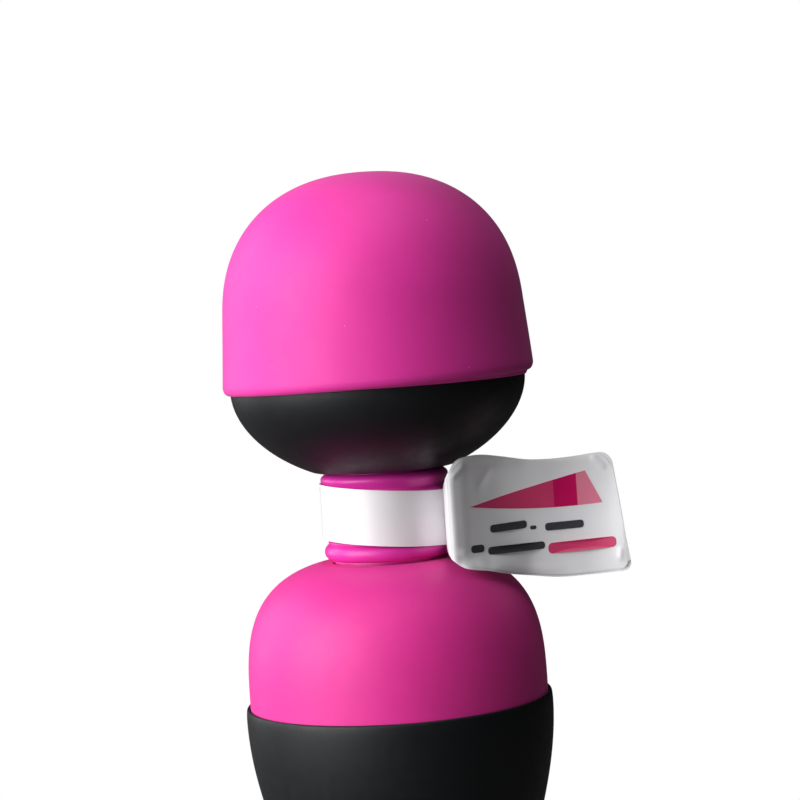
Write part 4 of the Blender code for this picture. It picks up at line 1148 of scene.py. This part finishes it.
def make_floor():
    """Floor that is pale to the camera, white far off, and gives little light back to the object."""
    rings = [[(0.0, 0.0, 0.0)]]
    for radius in (200.0, 600.0, 3000.0):
        rings.append([(*on_circle(radius, 360.0 * step / 64), 0.0) for step in range(64)])
    floor = loft("studio_floor", rings)
    floor.location.z = -0.02 * MM
    material = bpy.data.materials.new("studio_floor")
    material.use_nodes = True
    tree = material.node_tree
    tree.nodes.clear()
    seen = add_node(tree, "LightPath").outputs["Is Camera Ray"]
    spot = add_node(tree, "TexCoord").outputs["Object"]
    reach = add_node(tree, "VectorMath", {"operation": "LENGTH"}, Vector=spot).outputs["Value"]
    fade = add_node(tree, "MapRange", {"interpolation_type": "SMOOTHSTEP"}, Value=reach, From_Min=FADE_START,
                    From_Max=FADE_END)
    share = add_node(tree, "Math", {"operation": "MULTIPLY"}, Value=fade.outputs["Result"])
    tree.links.new(seen, share.inputs[1])
    tone = add_node(tree, "MapRange", Value=seen, To_Min=FLOOR_RETURN, To_Max=FLOOR_PALE)
    paint = add_node(tree, "BsdfDiffuse", Color=tone.outputs["Result"])
    mixed = mix_shaders(tree, share.outputs["Value"], paint, add_node(tree, "Emission"))
    add_node(tree, "OutputMaterial", Surface=mixed)
    floor.data.materials.append(material)


def make_world():
    """White where the camera sees it, a dim even grey as light and dimmer still in reflections."""
    world = bpy.data.worlds.new("studio")
    world.use_nodes = True
    tree = world.node_tree
    tree.nodes.clear()
    seen = add_node(tree, "LightPath")
    glossy = seen.outputs["Is Glossy Ray"]
    strength = add_node(tree, "MapRange", Value=glossy, To_Min=AMBIENT, To_Max=MIRRORED)
    dim = add_node(tree, "Background", Color=WHITE, Strength=strength.outputs["Result"])
    white = add_node(tree, "Background", Color=WHITE)
    add_node(tree, "OutputWorld", Surface=mix_shaders(tree, seen.outputs["Is Camera Ray"], dim, white))
    bpy.context.scene.world = world


def make_light(name, bearing, elevation, distance, size, power):
    """Soft rectangular light. Bearing 0 is behind the camera, and positive is to its right."""
    aim = Vector((0.0, 0.0, 0.12))
    turn = math.radians(bearing)
    climb = math.radians(elevation)
    away = Vector((math.sin(turn) * math.cos(climb), -math.cos(turn) * math.cos(climb), math.sin(climb)))
    data = bpy.data.lights.new(name, "AREA")
    data.shape = "RECTANGLE"
    data.size, data.size_y = size
    data.energy = power
    light = bpy.data.objects.new(name, data)
    light.location = aim + away * distance
    light.rotation_mode = "QUATERNION"
    light.rotation_quaternion = (-away).to_track_quat("-Z", "Y")
    bpy.context.scene.collection.objects.link(light)


def make_lights():
    make_light("key_left", -70.0, 15.0, 0.9, (0.5, 0.9), 8.2)
    make_light("fill_front", -40.0, 15.0, 0.9, (0.5, 0.9), 5.0)
    make_light("edge_left", -120.0, 15.0, 0.9, (0.5, 0.9), 3.2)
    make_light("overhead", -20.0, 78.0, 0.9, (0.8, 0.8), 2.6)


CAMERA_PLACE = (3.4, -381.0, 160.8)
CAMERA_TILT = 2.65
CAMERA_ROLL = 3.95
CAMERA_LENS = 106.8


def make_camera():
    """Level with the head, tipped a little down, and rolled so that the wand leans left."""
    tilt = math.radians(CAMERA_TILT)
    roll = math.radians(CAMERA_ROLL)
    forward = Vector((0.0, math.cos(tilt), -math.sin(tilt)))
    right = Vector((1.0, 0.0, 0.0))
    up = right.cross(forward)
    side = right * math.cos(roll) - up * math.sin(roll)
    top = up * math.cos(roll) + right * math.sin(roll)
    turn = Matrix((side, top, -forward)).transposed()
    data = bpy.data.cameras.new("camera")
    data.lens = CAMERA_LENS
    data.sensor_width = 36.0
    data.clip_start = 0.01
    data.clip_end = 20.0
    camera = bpy.data.objects.new("camera", data)
    camera.matrix_world = Matrix.Translation(Vector(CAMERA_PLACE) * MM) @ turn.to_4x4()
    bpy.context.scene.collection.objects.link(camera)
    bpy.context.scene.camera = camera
    bpy.context.scene.view_settings.view_transform = "Standard"


def main():
    make_camera()
    looks = make_materials()
    dress_inner_parts(looks)
    for make in (make_cap, make_bowl, make_dome, make_head_screws, make_neck, make_neck_wires, make_tag,
                 make_print, make_shoulder, make_handle, make_keys, make_flap, make_lens, make_socket,
                 make_base):
        make(looks)
    make_floor()
    make_world()
    make_lights()


main()
